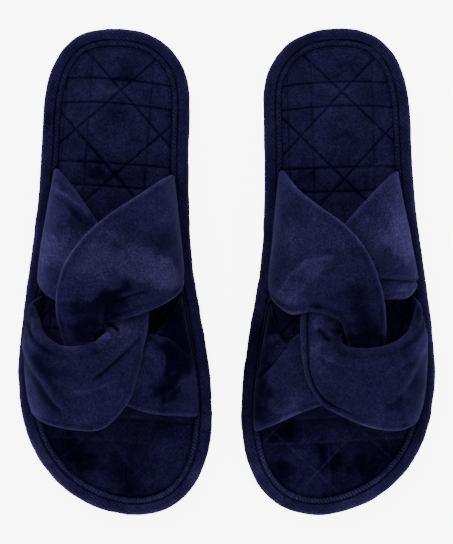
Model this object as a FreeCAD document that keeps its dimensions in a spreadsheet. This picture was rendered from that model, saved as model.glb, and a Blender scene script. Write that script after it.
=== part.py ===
"""A pair of knotted velour spa slippers, as a parametric FreeCAD document.

Each slipper is a moulded foam platform in a velour wrap, with a tray in its top for a board, a foam pad and a
quilted cover. Its upper is two padded straps. The medial strap starts and ends on the big-toe side, the lateral
strap starts and ends on the little-toe side, and each is a wide C that hooks round the other over the instep.

Frame: millimetres, +Z up, the floor at Z = 0, toes towards -Y, the left slipper at +X and the right one at -X.
A foot frame is used for every outline and strap: x from the big-toe side (-) to the little-toe side (+), y from
toe (-) to heel (+). The left slipper keeps it, and the right slipper mirrors its x.
"""

import FreeCAD, Part
import math
import os

V = FreeCAD.Vector
doc = FreeCAD.newDocument("spa_slippers")

# ---------------------------------------------------------------- driving dimensions
DIMENSIONS = [
    ("sole_length", 267.1, "heel to toe, over the wrap"),
    ("sole_width", 106.6, "across the widest extent, over the wrap"),
    ("foot_spacing", 122.4, "centre to centre of the two slippers"),
    ("outsole_thick", 3.0, "rubber outsole"),
    ("outsole_inset", 1.0, "outsole edge inside the wrap"),
    ("tread_width", 2.4, "one tread slot"),
    ("tread_length", 52.0, "one tread slot, across the sole"),
    ("tread_depth", 1.4, "one tread slot"),
    ("tread_pitch", 9.0, "from slot to slot"),
    ("rim_top", 22.0, "top of the rim above the floor"),
    ("rim_radius", 3.5, "rounding of the rim's outer top edge"),
    ("wrap_thick", 1.0, "velour wrap"),
    ("wrap_turn", 12.0, "width of the wrap glued under the platform"),
    ("rim_width", 6.3, "top of the rim, from the outer edge to the piping"),
    ("piping_wall", 1.5, "piping between the rim and a strap's end"),
    ("strap_slot", 2.2, "width of a slot in the piping that holds a strap's end"),
    ("piping_proud", 0.8, "piping above the rim"),
    ("tray_floor", 16.0, "floor of the platform's tray"),
    ("board_thick", 1.2, "insole board"),
    ("cover_thick", 1.0, "quilted velour cover"),
    ("thread", 0.7, "width of a sewing thread on the surface"),
    ("quilt_pitch", 46.5, "one repeat of the cane quilting"),
    ("quilt_gap", 13.2, "between the two rows of a pair"),
    ("fit_gap", 0.15, "clearance between soft layers"),
    ("strap_tab", 1.8, "strap thickness in its slot, sewn flat"),
    ("strap_thick", 4.6, "padded strap"),
    ("knot_thick", 6.4, "gathered strap at its bend"),
]

dims = doc.addObject("Spreadsheet::Sheet", "Dims")
for row, (alias, value, note) in enumerate(DIMENSIONS, start=1):
    dims.set(f"A{row}", alias)
    dims.set(f"B{row}", str(value))
    dims.set(f"C{row}", note)
    dims.setAlias(f"B{row}", alias)
doc.recompute()


def size(alias):
    """A driving dimension, as a number."""
    return float(dims.get(alias))


# ---------------------------------------------------------------- the sole's outline
# Landmarks round the sole, as shares of half its width and half its length in the foot frame.
OUTLINE_SHARES = [
    (0.000, 1.000),  # back of the heel
    (0.400, 0.965),
    (0.655, 0.830),
    (0.745, 0.620),
    (0.775, 0.380),  # little-toe side of the heel
    (0.848, 0.120),
    (0.940, -0.150),
    (0.998, -0.400),  # widest, at the ball of the foot
    (0.955, -0.590),
    (0.800, -0.760),
    (0.510, -0.895),
    (0.130, -0.977),
    (-0.260, -1.000),  # toe tip
    (-0.620, -0.955),
    (-0.880, -0.830),
    (-0.990, -0.640),  # big toe
    (-0.975, -0.430),
    (-0.885, -0.190),
    (-0.790, 0.050),
    (-0.757, 0.320),  # arch
    (-0.762, 0.600),
    (-0.702, 0.838),
    (-0.405, 0.965),
]
OFFSET_SAMPLES = 48  # points that carry an inset outline


def closed_spline(points):
    curve = Part.BSplineCurve()
    curve.interpolate(Points=points, PeriodicFlag=True)
    return curve


def foot_outline():
    """The sole's outer edge in the foot frame, clockwise from the heel seen from above."""
    half_width = size("sole_width") / 2
    half_length = size("sole_length") / 2
    return closed_spline([V(x * half_width, y * half_length, 0) for x, y in OUTLINE_SHARES])


OUTER_EDGE = foot_outline()


def inset_points(inset, count=OFFSET_SAMPLES):
    """Points evenly spaced along the outline, moved inwards by inset."""
    points = []
    for k in range(count):
        along = OUTER_EDGE.parameterAtDistance(OUTER_EDGE.length() * k / count, OUTER_EDGE.FirstParameter)
        tangent = OUTER_EDGE.tangent(along)[0]
        inward = V(tangent.y, -tangent.x, 0)
        points.append(OUTER_EDGE.value(along) + inward * inset)
    return points


def inset_spline(inset, side):
    """The outline moved inwards, mirrored for the right slipper."""
    return closed_spline([V(side * p.x, p.y, 0) for p in inset_points(inset)])


# ---------------------------------------------------------------- helpers for the flat layers
def new_body(label, foot):
    body = doc.addObject("PartDesign::Body", label)
    body.Label = label
    body.Placement = foot["placement"]
    return body


def plane_of(body, role):
    return next(f for f in body.Origin.OriginFeatures if f.Role == role)


def level_sketch(body, name, level, curves):
    """A sketch of closed curves on the body's XY plane, raised to level, which is an expression."""
    sketch = body.newObject("Sketcher::SketchObject", name)
    sketch.AttachmentSupport = (plane_of(body, "XY_Plane"), [""])
    sketch.MapMode = "FlatFace"
    sketch.setExpression("AttachmentOffset.Base.z", level)
    for curve in curves:
        sketch.addGeometry(curve, False)
    return sketch


def pad(body, sketch, height):
    feature = body.newObject("PartDesign::Pad", body.Label + "_pad")
    feature.Profile = sketch
    feature.setExpression("Length", height)
    doc.recompute()
    return feature


def pocket(body, sketch, depth):
    """Cuts down from the sketch by depth, and stops if nothing was cut."""
    before = body.Shape.Volume
    feature = body.newObject("PartDesign::Pocket", sketch.Label + "_cut")
    feature.Profile = sketch
    feature.setExpression("Length", depth)
    doc.recompute()
    assert body.Shape.Volume < before - 1.0, f"{feature.Label} cut nothing"
    return feature


def round_edges(body, base, level, radius):
    """Fillets the edges of base that lie at level, both expressions of the sheet's names."""
    height = evaluate(level)
    names = [
        f"Edge{k}"
        for k, edge in enumerate(base.Shape.Edges, start=1)
        if abs(edge.BoundBox.ZMin - height) < 1e-4 and abs(edge.BoundBox.ZMax - height) < 1e-4
    ]
    fillet = body.newObject("PartDesign::Fillet", body.Label + "_round")
    fillet.Base = (base, names)
    fillet.setExpression("Radius", radius)
    doc.recompute()
    return fillet


def evaluate(expression):
    """An expression made of the sheet's names, numbers, +, - and *, as a number."""
    total = 0.0
    for term in expression.replace("Dims.", "").replace("- ", "+ -").split("+ "):
        value = 1.0
        for factor in term.split("*"):
            factor = factor.strip()
            if factor.startswith("-"):
                value = -value
            factor = factor.lstrip("-")
            value *= size(factor) if factor[0].isalpha() else float(factor)
        total += value
    return total


def inset_slab(label, foot, inset, bottom, height, inner_inset=None):
    """A body padded from the outline moved inwards, with an optional hole that follows the outline too."""
    body = new_body(label, foot)
    curves = [inset_spline(evaluate(inset), foot["side"])]
    if inner_inset:
        curves.append(inset_spline(evaluate(inner_inset), foot["side"]))
    sketch = level_sketch(body, label + "_outline", bottom, curves)
    base = pad(body, sketch, height)
    body.Tip = base
    return body, base


# ---------------------------------------------------------------- sole
TREAD_FRONT = -108.0  # first slot, measured from the middle of the sole
TREAD_SLOTS = 25


def build_outsole(foot):
    """Rubber outsole with a row of rounded slots across it."""
    label = foot["name"] + "_outsole"
    body, base = inset_slab(label, foot, "Dims.outsole_inset", "0", "Dims.outsole_thick")
    sketch = body.newObject("Sketcher::SketchObject", label + "_slot")
    sketch.AttachmentSupport = (plane_of(body, "XY_Plane"), [""])
    sketch.MapMode = "FlatFace"
    half = (size("tread_length") - size("tread_width")) / 2
    radius = size("tread_width") / 2
    ends = [V(half, TREAD_FRONT, 0), V(-half, TREAD_FRONT, 0)]
    up = V(0, radius, 0)
    sketch.addGeometry(Part.LineSegment(ends[0] + up, ends[1] + up), False)
    sketch.addGeometry(Part.Arc(ends[1] + up, ends[1] - V(radius, 0, 0), ends[1] - up), False)
    sketch.addGeometry(Part.LineSegment(ends[1] - up, ends[0] - up), False)
    sketch.addGeometry(Part.Arc(ends[0] - up, ends[0] + V(radius, 0, 0), ends[0] + up), False)
    slot = body.newObject("PartDesign::Pocket", label + "_slot_cut")
    slot.Profile = sketch
    slot.Reversed = True
    slot.setExpression("Length", "Dims.tread_depth")
    doc.recompute()
    pattern = body.newObject("PartDesign::LinearPattern", label + "_tread")
    pattern.Originals = [slot]
    pattern.Direction = (plane_of(body, "Y_Axis"), [""])
    pattern.setExpression("Length", f"Dims.tread_pitch * {TREAD_SLOTS - 1}")
    pattern.Occurrences = TREAD_SLOTS
    body.Tip = pattern
    doc.recompute()
    boxes = [face.BoundBox for face in body.Shape.Faces]
    floors = [b for b in boxes if b.ZLength < 1e-4 and abs(b.ZMin - size("tread_depth")) < 1e-4]
    assert len(floors) == TREAD_SLOTS, f"{len(floors)} tread slots were cut"
    return body


def build_platform(foot):
    """Moulded foam platform: rounded outer edge, and a tray in its top."""
    label = foot["name"] + "_platform"
    inset = "Dims.wrap_thick + Dims.fit_gap"
    bottom = "Dims.outsole_thick + Dims.wrap_thick"
    body, base = inset_slab(
        label, foot, inset, bottom, "Dims.rim_top - Dims.outsole_thick - 2 * Dims.wrap_thick - Dims.fit_gap"
    )
    top = "Dims.rim_top - Dims.wrap_thick - Dims.fit_gap"
    base = round_edges(body, base, top, "Dims.rim_radius - Dims.wrap_thick - Dims.fit_gap")
    tray = level_sketch(body, label + "_tray", top, [inset_spline(size("rim_width"), foot["side"])])
    body.Tip = pocket(body, tray, top + " - Dims.tray_floor")
    return body


def build_wrap(foot):
    """Velour wrap: up the side of the platform, over the rim, and glued a little way in underneath."""
    label = foot["name"] + "_platform_wrap"
    height = "Dims.rim_top - Dims.outsole_thick"
    outer, base = inset_slab(label + "_outer", foot, "0", "Dims.outsole_thick", height)
    outer.Tip = round_edges(outer, base, "Dims.rim_top", "Dims.rim_radius")
    inner, base = inset_slab(
        label + "_inner", foot, "Dims.wrap_thick", "Dims.outsole_thick + Dims.wrap_thick", height + " - 2 * Dims.wrap_thick"
    )
    inner.Tip = round_edges(inner, base, "Dims.rim_top - Dims.wrap_thick", "Dims.rim_radius - Dims.wrap_thick")
    mouth, _ = inset_slab(label + "_mouth", foot, "Dims.rim_width", "Dims.tray_floor", "10")
    under, _ = inset_slab(label + "_under", foot, "Dims.wrap_turn", "0", "10")
    cavity = doc.addObject("Part::MultiFuse", label + "_cavity")
    cavity.Shapes = [inner, mouth, under]
    wrap = doc.addObject("Part::Cut", label)
    wrap.Base = outer
    wrap.Tool = cavity
    wrap.Label = label
    doc.recompute()
    return wrap


# ---------------------------------------------------------------- footbed
MEDIAL, LATERAL = -1, 1
# Where each strap's ends stand in the sole: the y of the outer and the inner edge, at the first and the last end.
STRAP_ENDS = {
    ("left", MEDIAL): ((55.0, -7.5), (-86.5, -18.0)),
    ("left", LATERAL): ((-79.5, -13.0), (55.0, -8.0)),
    ("right", MEDIAL): ((53.0, -5.0), (-79.5, -13.0)),
    ("right", LATERAL): ((-76.0, -13.0), (56.0, -5.5)),
}
SLOT_SLACK = 1.0  # a slot is this much longer than its strap's end, at both ends


def footbed_inset():
    return "Dims.rim_width + Dims.piping_wall + Dims.strap_slot"


def build_piping(foot):
    """Velour piping that fills the tray from the rim to the cover, with a slot for each end of each strap."""
    label = foot["name"] + "_rim_piping"
    full, _ = inset_slab(
        label + "_full",
        foot,
        "Dims.rim_width + Dims.fit_gap",
        "Dims.tray_floor",
        "Dims.rim_top - Dims.tray_floor + Dims.piping_proud",
        footbed_inset() + " - Dims.fit_gap",
    )
    ring, _ = inset_slab(
        label + "_ring", foot, "Dims.rim_width + Dims.piping_wall", "Dims.tray_floor + 0.8", "10", "14"
    )
    reaches = []
    for side_of_foot in (MEDIAL, LATERAL):
        for k, (outer_y, inner_y) in enumerate(STRAP_ENDS[(foot["name"], side_of_foot)]):
            reach = doc.addObject("Part::Box", f"{label}_reach_{side_of_foot + 1}{k}")
            low, high = sorted((outer_y, inner_y))
            reach.Length = size("sole_width")
            reach.Width = high - low + 2 * SLOT_SLACK
            reach.Height = 20
            left = 0.0 if side_of_foot * foot["side"] > 0 else -size("sole_width")
            reach.Placement = foot["placement"].multiply(
                FreeCAD.Placement(V(left, low - SLOT_SLACK, 10), FreeCAD.Rotation())
            )
            reaches.append(reach)
    reach_fuse = doc.addObject("Part::MultiFuse", label + "_reaches")
    reach_fuse.Shapes = reaches
    slots = doc.addObject("Part::Common", label + "_slots")
    slots.Base = ring
    slots.Tool = reach_fuse
    piping = doc.addObject("Part::Cut", label)
    piping.Base = full
    piping.Tool = slots
    piping.Label = label
    doc.recompute()
    return piping


def build_board(foot):
    label = foot["name"] + "_insole_board"
    body, _ = inset_slab(label, foot, footbed_inset(), "Dims.tray_floor", "Dims.board_thick")
    return body


def build_foam(foot):
    label = foot["name"] + "_footbed_foam"
    inset = footbed_inset() + " + Dims.cover_thick + Dims.fit_gap"
    bottom = "Dims.tray_floor + Dims.board_thick"
    body, _ = inset_slab(
        label, foot, inset, bottom, "Dims.rim_top - Dims.cover_thick - Dims.tray_floor - Dims.board_thick"
    )
    return body


def build_cover(foot):
    """Velour cover, a shallow cap over the foam pad."""
    label = foot["name"] + "_footbed_cover"
    bottom = "Dims.tray_floor + Dims.board_thick"
    body, base = inset_slab(
        label, foot, footbed_inset(), bottom, "Dims.rim_top - Dims.tray_floor - Dims.board_thick"
    )
    curve = inset_spline(evaluate(footbed_inset() + " + Dims.cover_thick"), foot["side"])
    hollow = level_sketch(body, label + "_hollow", bottom, [curve])
    before = body.Shape.Volume
    cut = body.newObject("PartDesign::Pocket", label + "_hollow_cut")
    cut.Profile = hollow
    cut.Reversed = True
    cut.setExpression("Length", "Dims.rim_top - Dims.cover_thick - Dims.tray_floor - Dims.board_thick")
    doc.recompute()
    assert body.Shape.Volume < before / 2, "the cover was not hollowed"
    body.Tip = cut
    return body


def build_topstitch(foot):
    """The row of stitching round the edge of the cover."""
    label = foot["name"] + "_edge_stitching"
    inset = footbed_inset() + " + Dims.cover_thick"
    body, _ = inset_slab(label, foot, inset, "Dims.rim_top", "Dims.thread / 2", inset + " + Dims.thread")
    return body


# The middle of one diamond of the quilting, and the turn of its rows in degrees, in the foot frame.
QUILT_PLACE = {"left": ((2.7, 74.0), 1.6), "right": ((-1.6, 76.6), 4.1)}
QUILT_REACH = 200.0  # longer than any row


def quilt_rows():
    """Each row of the cane quilting as a point on it and its direction in degrees, before the turn."""
    pitch = size("quilt_pitch")
    half_gap = size("quilt_gap") / 2
    rows = []
    for k in range(-5, 5):
        for step in (-half_gap, half_gap):
            rows.append(((0.0, (k + 0.5) * pitch + step), 0.0))
            rows.append((((k + 0.5) * pitch + step, 0.0), 90.0))
    for k in range(-9, 9):
        rows.append((((k + 0.5) * pitch, 0.0), 45.0))
        rows.append((((k + 0.5) * pitch, 0.0), -45.0))
    return rows


def build_quilting(foot):
    """The quilting rows: pairs across, pairs along, and diagonals that make diamonds, fused where they cross."""
    label = foot["name"] + "_quilt_stitching"
    field, _ = inset_slab(
        label + "_field",
        foot,
        footbed_inset() + " + Dims.cover_thick + 2 * Dims.thread",
        "Dims.rim_top",
        "Dims.thread / 2",
    )
    threads = []
    (centre_x, centre_y), degrees = QUILT_PLACE[foot["name"]]
    turn = FreeCAD.Rotation(V(0, 0, 1), foot["side"] * degrees)
    centre = V(foot["side"] * centre_x, centre_y, 0)
    for k, ((x, y), direction) in enumerate(quilt_rows()):
        start = centre + turn.multVec(V(x, y, 0))
        if abs(start.y) > size("sole_length") or abs(start.x) > size("sole_length") * 1.6:
            continue
        along = turn.multVec(FreeCAD.Rotation(V(0, 0, 1), direction).multVec(V(1, 0, 0)))
        if crosses_field(start, along):
            row = doc.addObject("Part::Box", f"{label}_row_{k}")
            row.Length = 2 * QUILT_REACH
            row.setExpression("Width", "Dims.thread")
            row.setExpression("Height", "Dims.thread / 2")
            angle = math.degrees(math.atan2(along.y, along.x))
            spin = FreeCAD.Rotation(V(0, 0, 1), angle)
            middle = start - along * start.dot(along)
            corner = middle + spin.multVec(V(-QUILT_REACH, -size("thread") / 2, 0))
            corner.z = size("rim_top")
            row.Placement = foot["placement"].multiply(FreeCAD.Placement(corner, spin))
            threads.append(row)
    lattice = doc.addObject("Part::MultiFuse", label + "_lattice")
    lattice.Shapes = threads
    stitching = doc.addObject("Part::Common", label)
    stitching.Base = lattice
    stitching.Tool = field
    stitching.Label = label
    doc.recompute()
    return stitching


def crosses_field(start, along):
    """True if a row comes near enough to the middle of the sole to cross the footbed."""
    across = V(-along.y, along.x, 0)
    reach = abs(across.x) * size("sole_width") / 2 + abs(across.y) * size("sole_length") / 2
    return abs(start.dot(across)) < 0.9 * reach


# ---------------------------------------------------------------- straps
# A strap is a list of stations from its first end to its last. A station is its outer edge and its inner edge in
# the foot frame: (x, y, z), (x, y, z). Between stations both edges are smooth curves. The outer edge is the long
# way round the C, and the inner edge is the short way, bunched at the bend. The two ends stand in the sole's
# strap slot, where a station holds only the y of each edge and its z, and x follows the slot.
LEFT_MEDIAL_STRAP = [
    ((-30.5, 54.8, 34), (-37.3, -9.5, 33)),
    ((-23.0, 45.0, 50), (-35.0, -16.0, 45)),
    ((-11.5, 35.7, 59), (-27.0, -22.5, 54)),
    ((2.3, 25.6, 63.5), (-16.0, -21.2, 58.5)),
    ((14.3, 11.3, 64.5), (-6.0, -23.0, 59.5)),
    ((21.7, -7.4, 62), (1.5, -27.3, 57.5)),
    ((24.5, -24.0, 56), (4.2, -33.5, 53)),
    ((24.0, -39.0, 48), (6.0, -40.0, 48.5)),
    ((20.0, -52.5, 43.5), (2.0, -43.5, 46)),
    ((8.0, -64.0, 42.5), (-7.0, -40.5, 45)),
    ((-6.0, -71.0, 42), (-17.5, -33.5, 44.5)),
    ((-20.5, -76.5, 40), (-27.5, -38.5, 43)),
    ((-35.0, -83.2, 36), (-33.0, -36.0, 38)),
    ((-44.4, -87.2, 29.5), (-36.5, -25.5, 31)),
]
LEFT_LATERAL_STRAP = [
    ((42.5, -81.0, 29.5), (44.0, -17.5, 31)),
    ((38.5, -84.2, 41), (43.0, -25.5, 41)),
    ((31.0, -86.3, 50), (39.0, -32.8, 50)),
    ((18.0, -84.6, 55), (29.5, -39.3, 56)),
    ((4.0, -79.5, 57.5), (15.5, -42.3, 58)),
    ((-9.5, -72.0, 57.5), (4.5, -41.2, 57)),
    ((-17.5, -58.5, 56), (0.5, -38.5, 53)),
    ((-20.5, -40.0, 53.5), (0.8, -35.0, 48.5)),
    ((-20.5, -22.0, 51.5), (2.5, -28.0, 46)),
    ((-15.5, -3.0, 52.5), (8.0, -19.0, 47)),
    ((-6.5, 13.5, 55.5), (17.0, -15.0, 48)),
    ((6.0, 29.0, 55.5), (28.0, -14.5, 46.5)),
    ((19.5, 43.5, 49.5), (37.5, -14.0, 41)),
    ((30.0, 53.8, 35), (42.8, -9.0, 31)),
]
RIGHT_MEDIAL_STRAP = [
    ((-30.8, 52.8, 34), (-37.0, -7.0, 33)),
    ((-24.0, 48.5, 50), (-34.5, -12.5, 45)),
    ((-12.0, 40.4, 59), (-25.5, -18.2, 54)),
    ((2.0, 31.2, 63.5), (-15.5, -22.2, 58.5)),
    ((16.2, 18.8, 64.5), (-6.5, -25.2, 59.5)),
    ((27.0, 2.4, 62), (1.5, -27.5, 57.5)),
    ((30.6, -17.0, 57), (9.5, -31.5, 53)),
    ((27.0, -36.0, 49.5), (11.5, -38.5, 48)),
    ((21.5, -52.0, 43.5), (5.5, -43.5, 45.5)),
    ((9.0, -64.0, 42.5), (-5.0, -41.0, 45)),
    ((-6.0, -72.2, 42), (-16.0, -35.5, 45)),
    ((-20.5, -77.2, 40), (-24.5, -32.5, 42)),
    ((-35.0, -78.5, 36), (-29.5, -26.5, 36)),
    ((-43.6, -79.3, 29.5), (-34.5, -18.5, 30.5)),
]
RIGHT_LATERAL_STRAP = [
    ((44.0, -77.5, 29.5), (45.5, -17.5, 31)),
    ((40.0, -80.8, 41), (43.5, -25.0, 41)),
    ((33.0, -83.6, 50), (40.5, -33.0, 50)),
    ((20.0, -85.8, 55), (30.5, -40.3, 56)),
    ((6.0, -84.8, 57.5), (18.5, -40.8, 58.5)),
    ((-6.5, -72.0, 57.5), (11.8, -38.8, 57)),
    ((-12.5, -56.0, 56), (7.0, -35.0, 53.5)),
    ((-16.5, -39.0, 53.5), (4.5, -31.5, 49)),
    ((-18.0, -21.0, 51.5), (4.0, -26.5, 46.5)),
    ((-13.5, -2.0, 52.5), (9.0, -20.5, 47)),
    ((-3.0, 13.0, 55), (19.0, -18.0, 48)),
    ((9.5, 27.0, 54), (29.0, -16.5, 46.5)),
    ((21.8, 44.5, 46.5), (37.5, -12.0, 41)),
    ((31.0, 55.6, 34), (41.6, -6.5, 31)),
]
SLOT_LEVELS = (17.4, 20.0, 22.5, 25.0)  # a strap's end, and how high it stands straight before it leans out
STRAP_ROWS = 49  # samples along a strap
STRAP_COLUMNS = 9  # samples across it
SLOT_T, RISE_T = 0.14, 0.10  # share of a strap that stands in its slot, and over which its padding rises
CROWN = 2.2  # how far the middle of a strap stands above its edges
WALL_SHARE = (0.75, 0.35)  # how much the stations nearest an end still follow the curve of the slot


def slot_x(y, side_of_foot):
    """The x of the slot's middle line at y, on the medial or the lateral side."""
    middle = size("rim_width") + size("piping_wall") + size("strap_slot") / 2
    points = inset_points(middle, 400)
    best = None
    for a, b in zip(points, points[1:] + points[:1]):
        if (a.y - y) * (b.y - y) <= 0 and abs(a.y - b.y) > 1e-9:
            x = a.x + (b.x - a.x) * (y - a.y) / (b.y - a.y)
            if x * side_of_foot > 0 and (best is None or x * side_of_foot > best * side_of_foot):
                best = x
    return best


def catmull_rom(values, t):
    """A smooth value at t, from 0 at the first of values to 1 at the last. Values are vectors."""
    spans = len(values) - 1
    place = min(max(t, 0.0), 1.0) * spans
    k = min(int(place), spans - 1)
    f = place - k
    b, c = values[k], values[k + 1]
    a = values[k - 1] if k > 0 else b * 2 - c
    d = values[k + 2] if k + 2 <= spans else c * 2 - b
    return (
        b * 2 + (c - a) * f + (a * 2 - b * 5 + c * 4 - d) * f**2 + (b * 3 - a - c * 3 + d) * f**3
    ) * 0.5


def strap_rows(stations, ends, side_of_foot):
    """Every station as STRAP_COLUMNS points from its outer edge to its inner edge, the ends included."""
    shares = [k / (STRAP_COLUMNS - 1) for k in range(STRAP_COLUMNS)]

    def slot_row(ys, level):
        heights = [ys[0] + (ys[1] - ys[0]) * v for v in shares]
        return [V(slot_x(y, side_of_foot), y, level) for y in heights]

    first, last = ([slot_row(ys, level) for level in SLOT_LEVELS] for ys in ends)
    rows = list(first)
    for k, (outer, inner) in enumerate(stations):
        outer, inner = V(*outer), V(*inner)
        row = [outer + (inner - outer) * v for v in shares]
        for near, bent in ((k, first[-1]), (len(stations) - 1 - k, last[-1])):
            if near < len(WALL_SHARE):
                for n, v in enumerate(shares):
                    straight = bent[0] + (bent[-1] - bent[0]) * v
                    row[n] = row[n] + (bent[n] - straight) * WALL_SHARE[near]
        rows.append(row)
    rows += reversed(last)
    return rows


def strap_grid(stations, ends, side_of_foot):
    """The strap's middle surface as STRAP_ROWS rows of points, with its crown, and the way up at each."""
    rows = strap_rows(stations, ends, side_of_foot)
    steps = [k / (STRAP_ROWS - 1) for k in range(STRAP_ROWS)]
    grid = [[catmull_rom([row[n] for row in rows], t) for n in range(STRAP_COLUMNS)] for t in steps]
    ups = grid_normals(grid)
    for k, t in enumerate(steps):
        free = free_share(t)
        for n in range(STRAP_COLUMNS):
            v = n / (STRAP_COLUMNS - 1)
            grid[k][n] = grid[k][n] + ups[k][n] * (CROWN * free * 4 * v * (1 - v))
    return grid, grid_normals(grid)


def grid_normals(grid):
    """Unit normals of a grid of points, on the side that faces up over the instep."""
    rows, columns = len(grid), len(grid[0])
    normals = []
    for k in range(rows):
        line = []
        for n in range(columns):
            along = grid[min(k + 1, rows - 1)][n] - grid[max(k - 1, 0)][n]
            across = grid[k][min(n + 1, columns - 1)] - grid[k][max(n - 1, 0)]
            line.append(along.cross(across).normalize())
        normals.append(line)
    if normals[rows // 2][columns // 2].z < 0:
        normals = [[-vector for vector in line] for line in normals]
    return normals


def free_share(t):
    """0 where a strap stands in its slot, rising smoothly to 1 where it is free. t runs 0 to 1 along it."""
    rise = min(1.0, max(0.0, (min(t, 1.0 - t) - SLOT_T) / RISE_T))
    return rise * rise * (3.0 - 2.0 * rise)


def strap_thickness(t):
    """Sewn flat in the slot, padded along the legs, and thickest where it is gathered at the bend."""
    bend = math.exp(-(((t - 0.5) / 0.13) ** 2))
    legs = size("strap_tab") + (size("strap_thick") - size("strap_tab")) * free_share(t)
    return legs + (size("knot_thick") - size("strap_thick")) * bend


def cubic_knots(count):
    """The multiplicities and knots of an even cubic B-spline with count poles that starts and ends on a pole."""
    return [4] + [1] * (count - 4) + [4], [float(k) for k in range(count - 2)]


def layer_solid(grid, ups, low, high, side):
    """A closed solid between two shares of the strap's thickness, 0 underneath and 1 on top."""
    gap = size("fit_gap") / 2
    sheets = []
    for share, inwards in ((low, 1.0), (high, -1.0)):
        sheet = []
        for k, line in enumerate(grid):
            thick = strap_thickness(k / (len(grid) - 1))
            rise = (share - 0.5) * thick + (gap * inwards if 0 < share < 1 else 0.0)
            sheet.append([p + up * rise for p, up in zip(line, ups[k])])
        sheets.append([[V(side * p.x, p.y, p.z) for p in line] for line in sheet])
    surfaces = []
    for sheet in sheets:
        surface = Part.BSplineSurface()
        row_mults, row_knots = cubic_knots(len(sheet))
        column_mults, column_knots = cubic_knots(len(sheet[0]))
        surface.buildFromPolesMultsKnots(
            sheet, row_mults, column_mults, row_knots, column_knots, False, False, 3, 3
        )
        surfaces.append(surface)
    faces = [surface.toShape() for surface in surfaces]
    for pick in ("uIso", "vIso"):
        for end in (0, 1):
            edges = []
            for surface in surfaces:
                u0, u1, v0, v1 = surface.bounds()
                at = ((u0, u1) if pick == "uIso" else (v0, v1))[end]
                edges.append(getattr(surface, pick)(at).toShape())
            faces.append(Part.makeRuledSurface(edges[0], edges[1]))
    shell = Part.makeShell(faces)
    shell.sewShape()
    solid = Part.makeSolid(shell)
    if solid.Volume < 0:
        solid.reverse()
    return solid


STRAP_LAYERS = (("lining", 0.0, 0.26), ("padding", 0.26, 0.74), ("cover", 0.74, 1.0))


def build_strap(foot, name, stations, side_of_foot):
    """One strap as its velour cover, its foam padding and its velour lining."""
    grid, ups = strap_grid(stations, STRAP_ENDS[(foot["name"], side_of_foot)], side_of_foot)
    layers = []
    for layer, low, high in STRAP_LAYERS:
        piece = doc.addObject("Part::Feature", f"{foot['name']}_{name}_{layer}")
        piece.Label = f"{foot['name']}_{name}_{layer}"
        piece.Shape = layer_solid(grid, ups, low, high, foot["side"])
        piece.Placement = foot["placement"]
        layers.append(piece)
    return layers


# ---------------------------------------------------------------- the pair
FEET = [
    {"name": "left", "side": 1, "medial": LEFT_MEDIAL_STRAP, "lateral": LEFT_LATERAL_STRAP},
    {"name": "right", "side": -1, "medial": RIGHT_MEDIAL_STRAP, "lateral": RIGHT_LATERAL_STRAP},
]

subparts = []
for foot in FEET:
    foot["placement"] = FreeCAD.Placement(V(foot["side"] * size("foot_spacing") / 2, 0, 0), FreeCAD.Rotation())
    subparts.append(build_outsole(foot))
    subparts.append(build_platform(foot))
    subparts.append(build_wrap(foot))
    subparts.append(build_piping(foot))
    subparts.append(build_board(foot))
    subparts.append(build_foam(foot))
    subparts.append(build_cover(foot))
    subparts.append(build_topstitch(foot))
    subparts.append(build_quilting(foot))
    subparts += build_strap(foot, "medial_strap", foot["medial"], MEDIAL)
    subparts += build_strap(foot, "lateral_strap", foot["lateral"], LATERAL)

doc.recompute()
for item in doc.Objects:
    assert "Invalid" not in item.State and "Error" not in item.State, f"{item.Label} failed"

os.makedirs("parts", exist_ok=True)
for piece in subparts:
    shape = piece.Shape
    assert not shape.isNull() and shape.isValid(), f"{piece.Label} is not a valid shape"
    shape.exportStep(f"parts/{piece.Label}.step")
    print(f"{piece.Label:32s} {len(shape.Solids)} solid(s) {shape.Volume / 1000:8.2f} cm3")
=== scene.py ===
"""Looks for a pair of knotted velour spa slippers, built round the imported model.

Lengths are millimetres in the making and metres in the meshes. The foot frame is the one the CAD uses: x from the
big-toe side (-) to the little-toe side (+), y from toe (-) to heel (+). The right slipper mirrors x.
"""

import math
from functools import partial

import bmesh
import bpy
import numpy as np
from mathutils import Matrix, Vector


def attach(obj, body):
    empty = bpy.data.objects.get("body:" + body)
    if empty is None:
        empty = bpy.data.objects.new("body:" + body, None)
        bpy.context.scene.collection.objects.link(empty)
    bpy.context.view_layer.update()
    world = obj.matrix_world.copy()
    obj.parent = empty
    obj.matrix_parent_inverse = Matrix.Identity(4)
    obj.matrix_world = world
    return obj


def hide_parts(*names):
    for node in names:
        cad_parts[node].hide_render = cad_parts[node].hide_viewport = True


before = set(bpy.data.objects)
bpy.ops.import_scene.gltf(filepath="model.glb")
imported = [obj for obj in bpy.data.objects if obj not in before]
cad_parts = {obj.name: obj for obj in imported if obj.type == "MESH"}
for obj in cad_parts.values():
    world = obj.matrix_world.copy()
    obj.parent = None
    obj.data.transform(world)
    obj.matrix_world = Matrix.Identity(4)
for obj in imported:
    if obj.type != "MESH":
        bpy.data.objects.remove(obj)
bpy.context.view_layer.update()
MM = 0.001
SIDES = {"left": 1, "right": -1}
MEDIAL, LATERAL = -1, 1
NAP_AND_PAINTED_LIGHT_RANGE = (0.02, 1)  # the darkest and lightest of the brushed pile with its painted shade and highlight
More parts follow.
